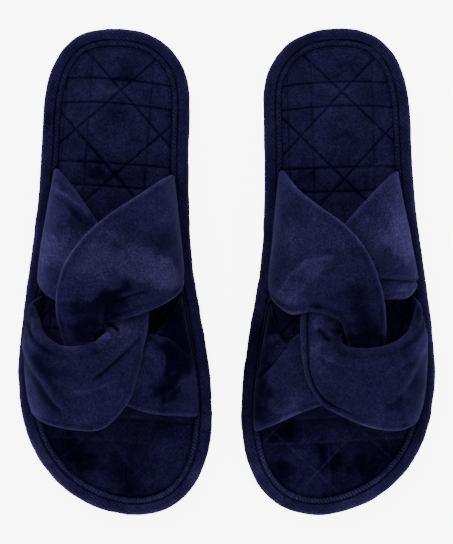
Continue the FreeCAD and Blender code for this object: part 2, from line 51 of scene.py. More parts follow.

# ---------------- the sole's outline, as in the CAD
OUTLINE_SHARES = [
    (0, 1), (0.4, 0.965), (0.655, 0.83), (0.745, 0.62), (0.775, 0.38), (0.848, 0.12),
    (0.94, -0.15), (0.998, -0.4), (0.955, -0.59), (0.8, -0.76), (0.51, -0.895), (0.13, -0.977),
    (-0.26, -1), (-0.62, -0.955), (-0.88, -0.83), (-0.99, -0.64), (-0.975, -0.43),
    (-0.885, -0.19), (-0.79, 0.05), (-0.757, 0.32), (-0.762, 0.6), (-0.702, 0.838), (-0.405, 0.965),
]
SOLE_WIDTH, SOLE_LENGTH = 106.6, 267.1
FOOT_SPACING = 122.4  # centre to centre of the two slippers
SLOT_MIDDLE = 8.9  # from the outline to the middle of the slot that holds a strap's end
COVER_INSET = 10.0  # from the outline to the footbed cover's edge
SPLINE_STEPS = 60  # points between two of the outline's, before they are spaced evenly
RIM_SAMPLES = 1280


def closed_curve(points, count):
    """A smooth closed curve through points, as count points evenly spaced along it."""
    p = np.asarray(points, float)
    n = len(p)
    h = np.linalg.norm(np.roll(p, -1, 0) - p, axis=1)
    system, right = np.zeros((n, n)), np.zeros((n, 2))
    for i in range(n):
        a, b = h[i - 1], h[i]
        system[i, i - 1] += a
        system[i, i] += 2 * (a + b)
        system[i, (i + 1) % n] += b
        right[i] = 6 * ((p[(i + 1) % n] - p[i]) / b - (p[i] - p[i - 1]) / a)
    m = np.linalg.solve(system, right)
    dense = []
    for i in range(n):
        j = (i + 1) % n
        f = np.linspace(0, 1, SPLINE_STEPS, endpoint=False)[:, None]
        a, b = 1 - f, f
        dense.append(a * p[i] + b * p[j] + h[i] ** 2 / 6 * ((a**3 - a) * m[i] + (b**3 - b) * m[j]))
    dense = np.vstack(dense)
    step = np.linalg.norm(np.roll(dense, -1, 0) - dense, axis=1)
    along = np.concatenate([[0], np.cumsum(step)])
    closed = np.vstack([dense, dense[:1]])
    wanted = np.arange(count) * along[-1] / count
    return np.column_stack([np.interp(wanted, along, closed[:, k]) for k in range(2)])


EDGE = closed_curve(np.array(OUTLINE_SHARES) * (SOLE_WIDTH / 2, SOLE_LENGTH / 2), RIM_SAMPLES)
EDGE_TANGENT = np.roll(EDGE, -1, 0) - np.roll(EDGE, 1, 0)
EDGE_TANGENT /= np.linalg.norm(EDGE_TANGENT, axis=1)[:, None]
EDGE_INWARD = np.column_stack([EDGE_TANGENT[:, 1], -EDGE_TANGENT[:, 0]])
EDGE_LENGTH = np.linalg.norm(np.roll(EDGE, -1, 0) - EDGE, axis=1).sum()


def inset(distance):
    """The outline moved inwards."""
    return EDGE + EDGE_INWARD * distance


# ---------------- smooth repeatable noise
LATTICE_SIZE = 32
LATTICES = {}


def soft_noise(points, pitch, seed):
    """Smooth noise from -1 to 1 at points (n, 3), with features about pitch across, the same every run."""
    if seed not in LATTICES:
        LATTICES[seed] = np.random.RandomState(seed).uniform(-1, 1, (LATTICE_SIZE,) * 3)
    grid = LATTICES[seed]
    q = np.asarray(points, float) / np.asarray(pitch, float)
    low = np.floor(q).astype(int)
    f = q - low
    f = f * f * f * (f * (f * 6 - 15) + 10)
    total = np.zeros(len(q))
    for corner in range(8):
        d = np.array([corner & 1, corner >> 1 & 1, corner >> 2 & 1])
        w = np.prod(np.where(d, f, 1 - f), axis=1)
        i = (low + d) % LATTICE_SIZE
        total += w * grid[i[:, 0], i[:, 1], i[:, 2]]
    return total


def smoothstep(x):
    x = np.clip(x, 0, 1)
    return x * x * (3 - 2 * x)


def bell(x, middle, width):
    """A smooth bump of height 1 at middle."""
    return np.exp(-(((x - middle) / width) ** 2))


# ---------------- meshes
def make_mesh(foot, name, points, faces, material):
    """A smooth-shaded mesh from foot-frame points in mm. The right slipper is mirrored and its faces turned over."""
    name, side = f"{foot}_{name}", SIDES[foot]
    p = np.array(points, float).reshape(-1, 3)
    p[:, 0] = side * (p[:, 0] + FOOT_SPACING / 2)
    mesh = bpy.data.meshes.new(name)
    mesh.from_pydata((p * MM).tolist(), [], [list(map(int, f))[::side] for f in faces])
    mesh.polygons.foreach_set("use_smooth", [True] * len(mesh.polygons))
    mesh.materials.append(material)
    mesh.update()
    made = bpy.data.objects.new(name, mesh)
    bpy.context.scene.collection.objects.link(made)
    return made


def grid_faces(rows, columns, wrap_rows=False, wrap_columns=False, start=0):
    """Quads of a grid of points stored row by row."""
    r = np.arange(rows if wrap_rows else rows - 1)
    c = np.arange(columns if wrap_columns else columns - 1)
    r, c = np.meshgrid(r, c, indexing="ij")
    r1, c1 = (r + 1) % rows, (c + 1) % columns
    quads = np.stack([r * columns + c, r * columns + c1, r1 * columns + c1, r1 * columns + c], -1)
    return (quads.reshape(-1, 4) + start).tolist()


def brush(made, nap_and_painted_light):
    """Stores how the pile is brushed, with the painted shade and highlight, at each point, then turns every face
    outwards.
    """
    layer = made.data.attributes.new("nap_and_painted_light", "FLOAT", "POINT")
    layer.data.foreach_set("value", np.clip(nap_and_painted_light, *NAP_AND_PAINTED_LIGHT_RANGE).ravel().astype(np.float32))
    work = bmesh.new()
    work.from_mesh(made.data)
    bmesh.ops.recalc_face_normals(work, faces=work.faces)
    work.to_mesh(made.data)
    work.free()
    return made


# ---------------- materials
def node_material(name):
    material = bpy.data.materials.new(name)
    material.use_nodes = True
    tree = material.node_tree
    tree.nodes.clear()
    out = tree.nodes.new("ShaderNodeOutputMaterial")
    shader = tree.nodes.new("ShaderNodeBsdfPrincipled")
    tree.links.new(shader.outputs["BSDF"], out.inputs["Surface"])
    return material, tree, shader


def set_inputs(tree, node, values):
    """Links each value that is another node's output, and sets the others."""
    for name, value in values.items():
        if isinstance(value, bpy.types.NodeSocket):
            tree.links.new(value, node.inputs[name])
        else:
            node.inputs[name].default_value = value


def add_place(tree, stretch=(1, 1, 1)):
    """A point's place in the row frame, stretched."""
    where = tree.nodes.new("ShaderNodeNewGeometry")
    stretched = tree.nodes.new("ShaderNodeMapping")
    set_inputs(tree, stretched, {"Scale": stretch, "Vector": where.outputs["Position"]})
    return stretched.outputs["Vector"]


def add_noise(tree, scale, detail=2.0, roughness=0.5, stretch=(1, 1, 1), distortion=0.0):
    made = tree.nodes.new("ShaderNodeTexNoise")
    shape = {"Scale": scale, "Detail": detail, "Roughness": roughness, "Distortion": distortion}
    set_inputs(tree, made, {**shape, "Vector": add_place(tree, stretch)})
    return made.outputs["Fac"]


def add_wave(tree, scale, distortion, direction="X", stretch=(1, 1, 1)):
    made = tree.nodes.new("ShaderNodeTexWave")
    made.bands_direction = direction
    set_inputs(tree, made, {"Scale": scale, "Distortion": distortion, "Vector": add_place(tree, stretch)})
    return made.outputs["Fac"]


def add_ramp(tree, source, stops):
    ramp = tree.nodes.new("ShaderNodeValToRGB")
    ramp.color_ramp.interpolation = "EASE"
    while len(ramp.color_ramp.elements) < len(stops):
        ramp.color_ramp.elements.new(0.5)
    for element, (at, colour) in zip(ramp.color_ramp.elements, stops):
        element.position = at
        element.color = (*colour, 1)
    tree.links.new(source, ramp.inputs["Fac"])
    return ramp.outputs["Color"]


def multiply(tree, a, b):
    """The product of two colours."""
    mix = tree.nodes.new("ShaderNodeMix")
    mix.data_type = "RGBA"
    mix.blend_type = "MULTIPLY"
    set_inputs(tree, mix, {"Factor": 1.0, "A": a, "B": b})
    return mix.outputs["Result"]


def add_bump(tree, shader, heights):
    """Stacks bumps of (height socket, distance in metres, strength) on the shader's normal."""
    for height, distance, strength in heights:
        bump = tree.nodes.new("ShaderNodeBump")
        set_inputs(tree, bump, {"Distance": distance, "Strength": strength, "Height": height})
        for link in shader.inputs["Normal"].links:
            tree.links.new(link.from_socket, bump.inputs["Normal"])
        tree.links.new(bump.outputs["Normal"], shader.inputs["Normal"])


def scaled(colour, factor):
    return tuple(c * factor for c in colour)


def spread_stops(low, high, spread):
    """A ramp that darkens by spread below low and lightens by spread above high."""
    return [(low, (1 - spread,) * 3), (high, (1 + spread,) * 3)]


# Noise scales, in features per metre or so, from brushed patches down to single fibres.
PATCH_SCALE, STROKE_SCALE, TUFT_SCALE, PILE_SCALE, FIBRE_SCALE = 90.0, 320.0, 780.0, 1500.0, 4200.0
PILE_SPREAD, TUFT_SPREAD, RIB_SPREAD = 0.50, 0.20, 0.20
# What the mesh attribute read by the velour does to the colour: 0 is darkest (pile brushed dark, and painted shade),
# 0.5 is plain and 1 is lightest (pile brushed light, and painted highlight).
NAP_AND_PAINTED_LIGHT_TONES = [(0.0, (0.13, 0.11, 0.23)), (0.5, (1, 1, 1)), (1.0, (3.4, 3.6, 2.7))]
SHEEN_TINT = (0.44, 0.42, 0.80, 1)


def velour(name, colour, sheen, patch=0.14, grain=0.09, ribs=0):
    """Short-pile velour: brushed patches, fine pile, the mesh's painted shade and highlight, and a bluish sheen on
    turned surfaces.
    """
    material, tree, shader = node_material(name)
    brushing = add_noise(tree, PATCH_SCALE, 3.0, 0.6, (1.0, 0.85, 1.0), 0.2)
    strokes = add_noise(tree, STROKE_SCALE, 3.0, 0.6, (1.0, 0.8, 1.0), 0.4)
    pile = add_noise(tree, PILE_SCALE, 2.0, 0.7)
    fibre = add_noise(tree, FIBRE_SCALE, 1.0, 0.5)
    tufts = add_noise(tree, TUFT_SCALE, 2.0, 0.7, (1.0, 0.7, 1.0))
    tone = add_ramp(tree, brushing, [(0.36, scaled(colour, 1 - patch)), (0.64, scaled(colour, 1 + patch))])
    layers = [
        (strokes, spread_stops(0.3, 0.7, grain)),
        (pile, spread_stops(0.3, 0.7, PILE_SPREAD)),
        (tufts, spread_stops(0.3, 0.7, TUFT_SPREAD)),
    ]
    if ribs:
        rows = add_wave(tree, ribs, 1.2, "DIAGONAL", (1, 1, 0))
        layers.append((rows, spread_stops(0.2, 0.8, RIB_SPREAD)))
    # the mesh's brushing, with painted shade and painted highlight in it
    nap_and_painted_light = tree.nodes.new("ShaderNodeAttribute")
    nap_and_painted_light.attribute_name = "nap_and_painted_light"
    layers.append((nap_and_painted_light.outputs["Fac"], NAP_AND_PAINTED_LIGHT_TONES))
    for source, stops in layers:
        tone = multiply(tree, tone, add_ramp(tree, source, stops))
    set_inputs(tree, shader, {"Base Color": tone, "Roughness": 0.95, "Specular IOR Level": 0.0})
    set_inputs(tree, shader, {"Sheen Weight": sheen, "Sheen Roughness": 0.45, "Sheen Tint": SHEEN_TINT})
    add_bump(tree, shader, [(strokes, 0.0004, 0.3), (pile, 0.00035, 0.7), (fibre, 0.00012, 0.6)])
    return material


NAVY = (0.0050, 0.0037, 0.0162)
STRAP_VELOUR = velour("strap_velour", scaled(NAVY, 1.42), 0.032, 0.10)
WRAP_VELOUR = velour("wrap_velour", scaled(NAVY, 1.22), 0.016, ribs=260.0)
FOOTBED_VELOUR = velour("footbed_velour", scaled(NAVY, 1.35), 0.016, 0.16, 0.09)


def thread_material():
    material, tree, shader = node_material("thread")
    twist = add_wave(tree, 900.0, 1.5)
    tone = add_ramp(tree, twist, [(0.2, (0.0020, 0.0018, 0.0075)), (0.8, (0.0060, 0.0055, 0.021))])
    set_inputs(tree, shader, {"Base Color": tone, "Roughness": 0.8, "Specular IOR Level": 0.0})
    add_bump(tree, shader, [(twist, 0.0001, 0.6)])
    return material


def rubber_material():
    material, tree, shader = node_material("outsole_rubber")
    mottle = add_noise(tree, 160.0, 3.0)
    grain = add_noise(tree, 2600.0, 2.0)
    tone = add_ramp(tree, mottle, [(0.3, (0.0030, 0.0034, 0.0085)), (0.7, (0.0060, 0.0068, 0.0150))])
    rough = add_ramp(tree, mottle, [(0.3, (0.75,) * 3), (0.7, (0.9,) * 3)])
    set_inputs(tree, shader, {"Base Color": tone, "Roughness": rough, "Specular IOR Level": 0.12})
    add_bump(tree, shader, [(grain, 0.0002, 0.5), (mottle, 0.0004, 0.2)])
    return material


def plain_material(name, dark, light, scale, roughness, bump):
    """Foam or fibre board: cells or fibres in two tones."""
    material, tree, shader = node_material(name)
    cells = add_noise(tree, scale, 4.0, 0.7)
    tone = add_ramp(tree, cells, [(0.35, dark), (0.65, light)])
    set_inputs(tree, shader, {"Base Color": tone, "Roughness": roughness, "Specular IOR Level": 0.0})
    add_bump(tree, shader, [(cells, bump, 0.6)])
    return material


THREAD = thread_material()
RUBBER = rubber_material()
PLATFORM_FOAM = plain_material("platform_foam", (0.012, 0.013, 0.03), (0.022, 0.024, 0.05), 1400.0, 0.85, 0.0003)
FIBRE = plain_material("insole_fibre", (0.008, 0.008, 0.014), (0.016, 0.016, 0.026), 700.0, 0.9, 0.0002)

# ---------------- straps
# Stations as in the CAD: the place of the strap's outer edge and of its inner edge in the foot frame.
STATIONS = {
    ("left", MEDIAL): [
        (-30.5, 54.8, 34, -37.3, -9.5, 33), (-23, 45, 50, -35, -16, 45), (-11.5, 35.7, 59, -27, -22.5, 54),
        (2.3, 25.6, 63.5, -16, -21.2, 58.5), (14.3, 11.3, 64.5, -6, -23, 59.5),
        (21.7, -7.4, 62, 1.5, -27.3, 57.5), (24.5, -24, 56, 4.2, -33.5, 53), (24, -39, 48, 6, -40, 48.5),
        (20, -52.5, 43.5, 2, -43.5, 46), (8, -64, 42.5, -7, -40.5, 45),
        (-6, -71, 42, -17.5, -33.5, 44.5), (-20.5, -76.5, 40, -27.5, -38.5, 43),
        (-35, -83.2, 36, -33, -36, 38), (-44.4, -87.2, 29.5, -36.5, -25.5, 31),
    ],
    ("left", LATERAL): [
        (42.5, -81, 29.5, 44, -17.5, 31), (38.5, -84.2, 41, 43, -25.5, 41), (31, -86.3, 50, 39, -32.8, 50),
        (18, -84.6, 55, 29.5, -39.3, 56), (4, -79.5, 57.5, 15.5, -42.3, 58), (-9.5, -72, 57.5, 4.5, -41.2, 57),
        (-17.5, -58.5, 56, 0.5, -38.5, 53), (-20.5, -40, 53.5, 0.8, -35, 48.5),
        (-20.5, -22, 51.5, 2.5, -28, 46), (-15.5, -3, 52.5, 8, -19, 47),
        (-6.5, 13.5, 55.5, 17, -15, 48), (6, 29, 55.5, 28, -14.5, 46.5),
        (19.5, 43.5, 49.5, 37.5, -14, 41), (30, 53.8, 35, 42.8, -9, 31),
    ],
    ("right", MEDIAL): [
        (-30.8, 52.8, 34, -37, -7, 33), (-24, 48.5, 50, -34.5, -12.5, 45), (-12, 40.4, 59, -25.5, -18.2, 54),
        (2, 31.2, 63.5, -15.5, -22.2, 58.5), (16.2, 18.8, 64.5, -6.5, -25.2, 59.5),
        (27, 2.4, 62, 1.5, -27.5, 57.5), (30.6, -17, 57, 9.5, -31.5, 53), (27, -36, 49.5, 11.5, -38.5, 48),
        (21.5, -52, 43.5, 5.5, -43.5, 45.5), (9, -64, 42.5, -5, -41, 45),
        (-6, -72.2, 42, -16, -35.5, 45), (-20.5, -77.2, 40, -24.5, -32.5, 42),
        (-35, -78.5, 36, -29.5, -26.5, 36), (-43.6, -79.3, 29.5, -34.5, -18.5, 30.5),
    ],
    ("right", LATERAL): [
        (44, -77.5, 29.5, 45.5, -17.5, 31), (40, -80.8, 41, 43.5, -25, 41), (33, -83.6, 50, 40.5, -33, 50),
        (20, -85.8, 55, 30.5, -40.3, 56), (6, -84.8, 57.5, 18.5, -40.8, 58.5),
        (-6.5, -72, 57.5, 11.8, -38.8, 57), (-12.5, -56, 56, 7, -35, 53.5),
        (-16.5, -39, 53.5, 4.5, -31.5, 49), (-18, -21, 51.5, 4, -26.5, 46.5),
        (-13.5, -2, 52.5, 9, -20.5, 47), (-3, 13, 55, 19, -18, 48), (9.5, 27, 54, 29, -16.5, 46.5),
        (21.8, 44.5, 46.5, 37.5, -12, 41), (31, 55.6, 34, 41.6, -6.5, 31),
    ],
}
STRAP_ENDS = {
    ("left", MEDIAL): ((55, -7.5), (-86.5, -18)),
    ("left", LATERAL): ((-79.5, -13), (55, -8)),
    ("right", MEDIAL): ((53, -5), (-79.5, -13)),
    ("right", LATERAL): ((-76, -13), (56, -5.5)),
}
SLOT_LEVELS = (17.4, 20.0, 22.5, 25.0)  # heights at which a strap's end stands straight in its slot
WALL_SHARE = (0.75, 0.35)  # how far the first stations above a slot still follow its curve
SLOT_T, RISE_T = 0.14, 0.10  # share of a strap that stands in its slot, and over which its padding rises
CROWN = 2.2  # how far the middle of a strap stands above its edges
OUTER_CURL, INNER_CURL, CURL_POWER = 1.4, 2.6, 7  # how far a strap's edges turn down, and how close to the edge
TAB_THICK, LEG_THICK, KNOT_THICK = 1.8, 5.2, 6.6  # in the slot, on the legs, and at the bend
KNOT_T, GATHER_T = 0.13, 0.17  # share of the length that the bend takes, and the gathers at its inner edge
LENGTH_LIKE, WIDTH_LIKE = 300, 60  # a strap's length and width, roughly, for the noise on it
STRAP_ROWS = 420
EDGE_COLUMNS, MIDDLE_COLUMNS, EDGE_SHARE = 10, 84, 0.055
STRAP_BACK_TONE = 0.3  # how dark a strap's back is kept: darker than plain


def slot_x(ys, side_of_foot):
    """The x of the strap slot's middle line at each y, on the medial or the lateral side."""
    line = inset(SLOT_MIDDLE)
    half = line[line[:, 0] * side_of_foot > 0]
    half = half[np.argsort(half[:, 1])]
    return np.interp(ys, half[:, 1], half[:, 0])


def catmull_rom(rows, t):
    """Smooth rows of points at each t, from 0 at the first row to 1 at the last."""
    rows = np.concatenate([[2 * rows[0] - rows[1]], rows, [2 * rows[-1] - rows[-2]]])
    spans = len(rows) - 3
    place_at = np.clip(t, 0, 1) * spans
    k = np.minimum(place_at.astype(int), spans - 1)
    f = (place_at - k)[:, None, None]
    a, b, c, d = rows[k], rows[k + 1], rows[k + 2], rows[k + 3]
    return 0.5 * (2 * b + (c - a) * f + (2 * a - 5 * b + 4 * c - d) * f**2 + (3 * b - a - 3 * c + d) * f**3)


def grid_normals(grid):
    along, across = np.gradient(grid, axis=0), np.gradient(grid, axis=1)
    n = np.cross(along, across)
    n /= np.linalg.norm(n, axis=2)[:, :, None] + 1e-12
    rows, columns = n.shape[:2]
    return n if n[rows // 2, columns // 2, 2] > 0 else -n


def strap_columns():
    """Shares across a strap: close together at the two edges, which are rounded."""
    edge = EDGE_SHARE * (1 - np.cos(np.linspace(0, math.pi / 2, EDGE_COLUMNS)))
    middle = np.linspace(EDGE_SHARE, 1 - EDGE_SHARE, MIDDLE_COLUMNS)
    return np.concatenate([edge[:-1], middle, 1 - edge[::-1][1:]])


def distance_to_line(points, line):
    """Distance of each (n, 2) point to a polyline, signed by the side it is on, and the share along the line."""
    best = np.full(len(points), 1e9)
    sign, share = np.ones(len(points)), np.zeros(len(points))
    line = np.asarray(line, float)
    lengths = np.linalg.norm(np.diff(line, axis=0), axis=1)
    before = np.concatenate([[0], np.cumsum(lengths)])
    for k in range(len(line) - 1):
        a, d = line[k], line[k + 1] - line[k]
        f = np.clip(((points - a) @ d) / (d @ d), 0, 1)
        off = points - (a + f[:, None] * d)
        gap = np.linalg.norm(off, axis=1)
        nearer = gap < best
        best = np.where(nearer, gap, best)
        sign = np.where(nearer, np.sign(d[0] * off[:, 1] - d[1] * off[:, 0]), sign)
        share = np.where(nearer, (before[k] + f * lengths[k]) / before[-1], share)
    return best * sign, share


def strap_grid(foot, side_of_foot):
    """The strap's middle surface, the way up from it, t along it, v across it, and mm to the nearer edge."""
    ends = STRAP_ENDS[(foot, side_of_foot)]
    v = strap_columns()
    slots = []
    for ys in ends:
        y = ys[0] + (ys[1] - ys[0]) * v
        x = slot_x(y, side_of_foot)
        slots.append([np.column_stack([x, y, np.full_like(x, z)]) for z in SLOT_LEVELS])
    first, last = slots
    rows = list(first)
    stations = STATIONS[(foot, side_of_foot)]
    for k, station in enumerate(stations):
        outer, inner = np.reshape(station, (2, 3)).astype(float)
        row = outer + (inner - outer) * v[:, None]
        for near, bent in ((k, first[-1]), (len(stations) - 1 - k, last[-1])):
            if near < len(WALL_SHARE):
                straight = bent[0] + (bent[-1] - bent[0]) * v[:, None]
                row = row + (bent - straight) * WALL_SHARE[near]
        rows.append(row)
    rows += last[::-1]
    t = np.linspace(0, 1, STRAP_ROWS)
    grid = catmull_rom(np.array(rows), t)
    free = smoothstep((np.minimum(t, 1 - t) - SLOT_T) / RISE_T)[:, None]
    s = 2 * v[None, :] - 1
    curl = np.where(s > 0, INNER_CURL, OUTER_CURL) * np.abs(s) ** CURL_POWER
    grid = grid + grid_normals(grid) * (free * (CROWN * (1 - s**2) - curl))[:, :, None]
    width = np.linalg.norm(np.diff(grid, axis=1), axis=2).sum(1)[:, None]
    edge = np.minimum(v[None, :], 1 - v[None, :]) * width
    return grid, grid_normals(grid), t[:, None] + 0 * s, v[None, :] + 0 * t[:, None], edge, free


# Creases: a line in the foot frame, the drop on its right side and how far that reaches, the rise on its left side
# and how far that reaches, and the share of the strap that it is on.
CREASES = {
    ("left", MEDIAL): [
        (
            [(-34, -20), (-31.3, -13.8), (-25.8, -2.9), (-16.6, 5.4), (-3.8, 8.1), (3, 7)],
            -0.8, 2.6, 0.3, 3, 0, 0.5,
        ),
        ([(-26, -23), (-24, -19.3), (-18.5, -10.2), (-9.3, -1), (1.6, 2.6), (8, 1)], 0.6, 3.5, 0.4, 4, 0, 0.5),
        ([(-19, -29.5), (-24, -36), (-29.5, -43.5), (-36, -52), (-46, -62)], 3.4, 15, 1, 6, 0.6, 1),
    ],
    ("left", LATERAL): [
        ([(-12.5, -31), (-10.5, -33), (-8, -35.6), (-5.4, -38), (-4, -39.4)], 4.6, 0.9, 0.5, 2, 0.3, 0.6),
        ([(-14, -44), (-8, -49.5), (0, -52.6), (10, -53.6), (25, -51)], 0.7, 3.5, 0.5, 4, 0, 0.56),
        ([(47, -39), (38, -46), (28, -52.5), (17, -60)], -0.9, 1.8, 0.3, 3, 0, 0.5),
        (
            [(49.5, -24), (48.3, -28.4), (41.9, -44.9), (34.6, -59.5), (27.3, -68.7), (20, -75)],
            -0.9, 2, 0.3, 3, 0, 0.5,
        ),
        ([(49, -34), (48.5, -48), (47.5, -62), (44, -80)], -0.6, 1.4, 0.3, 3, 0, 0.4),
        ([(10, -4.4), (24, -3.9), (35, -4.6), (50, -5)], 2.2, 3, 1.4, 5, 0.6, 1),
    ],
    ("right", MEDIAL): [
        ([(-19, -9.5), (-10, -12), (-3.9, -14), (2.7, -16.2)], 1.4, 4, 0.7, 4, 0, 0.5),
        ([(2, -13), (4.2, -18), (4.8, -26), (9, -33)], 2.4, 5, 0.9, 4, 0, 0.5),
        (
            [(-13, -33.5), (-17.6, -33.9), (-22.5, -34.5), (-29, -36.2), (-34.6, -40), (-40, -47)],
            3.2, 9, 0.7, 4, 0.6, 1,
        ),
        ([(-33, -38), (-36, -44), (-34, -50), (-31, -53)], 0.9, 2, 0.5, 2, 0.6, 1),
        ([(-37, -57), (-31, -64), (-24, -68)], -1, 2.2, 0.2, 2, 0.6, 1),
    ],
    ("right", LATERAL): [
        ([(-16.5, -31), (-14.3, -34.8), (-11.5, -38.7), (-0.6, -48.6), (14, -61)], 2.4, 8, 1.2, 8, 0.2, 0.62),
        ([(11.5, -40.2), (9.5, -38.9), (7, -36.8), (4.2, -34.6), (3, -33.6)], 3.6, 0.8, 0.8, 1.5, 0.3, 0.6),
        ([(2.8, -28.2), (1.2, -29.4), (-0.6, -31), (-2.4, -32.8), (-3.2, -34)], 4, 0.8, 0.7, 1.5, 0.3, 0.6),
        ([(28, -65.5), (20, -65), (10.4, -63.4), (0, -59.8)], -1, 1.6, 0.2, 3, 0, 0.56),
        (
            [(49, -31), (47.9, -35.8), (43.3, -46.7), (36.9, -57.7), (31.4, -66.8), (22, -78)],
            -1.9, 2.2, 0.3, 4, 0, 0.45,
        ),
        ([(49.5, -58), (48.5, -66), (45.5, -75)], -0.7, 1.4, 0.3, 4, 0, 0.3),
        ([(33, 46.5), (29.6, 44.2), (23.6, 40.3), (18.1, 34.8), (11, 25)], -2, 5, 0.7, 4, 0.6, 1),
    ],
}
# Patches on straps, for each stretch of t: where in the foot frame, how wide, how much darker (-) or lighter (+).
# Some are brushed pile; the others are painted shade where a strap's wall turns down or dives under the other strap,
# and painted highlight on raised rolls.
STRAP_NAP_AND_PAINTED_LIGHT = {
    ("left", MEDIAL): {
        (0, 0.5): [
            (-24, 20, 20, 0.1), (-4, 10, 14, 0.05), (-2, 0, 7, -0.08), (-8, -14, 6, -0.14), (8, -10, 7, -0.12),
            (18, -6, 8, -0.08), (-26, -15, 9, 0.14), (-24, 32, 4, -0.14), (-18, 30, 2.5, -0.14), (12, 8, 6, -0.12),
            (-10, -2, 8, 0.1),
        ],
        (0.2, 0.6): [(14, -35, 13, -0.34)],
        (0, 0.6): [(9, -20, 9, -0.13)],
        (0.5, 1): [
            (-44, -74, 9, -0.3), (-47, -61, 8, -0.34), (-48, -48, 9, -0.36), (-32, -46, 7, 0.09),
            (-22, -68, 10, 0.14), (-30, -76, 7, 0.1),
        ],
        (0.6, 1): [(-41, -29, 9, -0.36), (-36, -27, 8, -0.35)],
    },
    ("left", LATERAL): {
        (0, 0.6): [(-9, -47, 9, 0.15)],
        (0, 0.5): [
            (-3, -70, 7, -0.14), (43, -62, 8, -0.18), (38, -75, 9, -0.18), (16, -62, 9, -0.08), (27, -58, 6, 0.06),
            (36, -50, 7, -0.12), (0, -73, 8, 0.12), (20, -83, 8, 0.1),
        ],
        (0, 0.3): [(44, -24, 9, -0.34)],
        (0.3, 0.7): [(0, -35, 5, -0.42), (-12, -27, 5, 0.12)],
        (0.6, 1): [(30, 16, 16, 0.16), (33, 0, 6, -0.16), (35, -10, 6, 0.14), (26, 8, 5, -0.12)],
    },
    ("right", MEDIAL): {
        (0, 0.5): [
            (-13, 22, 9, -0.13), (-4, 25, 5, -0.1), (-26, 17, 7, -0.16), (-22, 30, 9, 0.08), (-22, 37, 3, -0.16),
            (8, 8, 14, 0.14), (-14, 2, 12, 0.14), (-28, -4, 9, 0.18), (4, -14, 7, -0.28), (-6, -11, 6, -0.22),
            (-14, -10, 4, -0.14), (0, -18.8, 5, -0.22), (28, -14, 5, 0.12),
        ],
        (0.1, 0.6): [(14, -27, 11, -0.3)],
        (0.6, 1): [(-36, -30, 13, -0.36)],
        (0.5, 1): [
            (-30.5, -48, 7, -0.28), (-29, -58, 7, -0.2), (-28, -67, 6, -0.28), (-39, -48, 8, -0.3),
            (-12, -60, 9, 0.12), (-20, -46, 6, 0.12), (-41, -60, 5, 0.08),
        ],
    },
    ("right", LATERAL): {
        (0, 0.5): [
            (40, -49, 8, -0.2), (33, -61, 8, -0.17), (22, -57, 6, -0.12), (42, -66, 5, -0.1), (16, -56, 12, 0.07),
            (30, -74, 7, -0.12), (12, -60, 5, -0.1), (20, -46, 6, 0.08),
        ],
        (0, 0.6): [(8, -70, 12, 0.06)],
        (0, 0.3): [(47, -26, 8, -0.3)],
        (0.3, 0.7): [(-6, -30, 6, 0.14), (3, -35.5, 3, 0.22), (8, -42, 4, 0.1)],
        (0.1, 0.6): [(12, -50, 6, -0.14)],
        (0.2, 0.6): [(0, -42, 6, 0.12)],
        (0.6, 1): [(30, 12, 13, 0.18), (22, 26, 7, -0.22), (27, 47, 4, -0.16)],
    },
}
# A flat hem outside the padding, along a strap's outer edge: from, to, and width.
HEMS = {("left", LATERAL): (0.35, 0.62, 4.3)}
# The padding's roll along a strap's inner edge: from, to, width, and how strong.
ROLLS = {
    ("left", MEDIAL): (0.12, 0.44, 4.2, 0.6), ("left", LATERAL): (0.14, 0.50, 5.6, 0.8),
    ("right", MEDIAL): (0.12, 0.44, 4.2, 0.5), ("right", LATERAL): (0.14, 0.52, 6.4, 1.0),
}


def patches(flat, specs, seed):
    """Darker and lighter patches with uneven borders: the sum of them at each point."""
    wander = [2.4 * soft_noise(flat, 6, seed + n) + soft_noise(flat, 2.4, seed + 2 + n) for n in (0, 1)]
    total = np.zeros(len(flat))
    for x, y, size, amount in specs:
        reach = 1 + 0.1 * size
        away = (flat[:, 0] + reach * wander[0] - x) ** 2 + (flat[:, 1] + reach * wander[1] - y) ** 2
        total += amount * np.exp(-away / size**2)
    return total


def within(x, start, stop, fade):
    """1 between start and stop, falling smoothly to 0 at both."""
    return smoothstep((x - start) / fade) * smoothstep((stop - x) / fade)


def hem_at(key, t, v, edge):
    """How much of a hem there is at each point, and how far inside its seam the point lies."""
    start, stop, width = HEMS[key]
    return within(t, start, stop, 0.05) * (v < 0.5), edge - width


def roll_at(key, t, v, edge):
    """The padding's roll along the strap's inner edge, and the valley beside it."""
    start, stop, reach, strength = ROLLS[key]
    rolled = strength * within(t, start, stop, 0.06) * (v > 0.5)
    return rolled * bell(edge, 0.45 * reach, 0.35 * reach), rolled * bell(edge, reach, 1.5)


def strap_noise(t, v, pitch, seed):
    """Soft unevenness of the padding, longer along the strap than across it."""
    where = np.column_stack([(t * LENGTH_LIKE).ravel(), (v * WIDTH_LIKE).ravel(), np.zeros(t.size)])
    return soft_noise(where, (*pitch, 1), seed).reshape(t.shape)


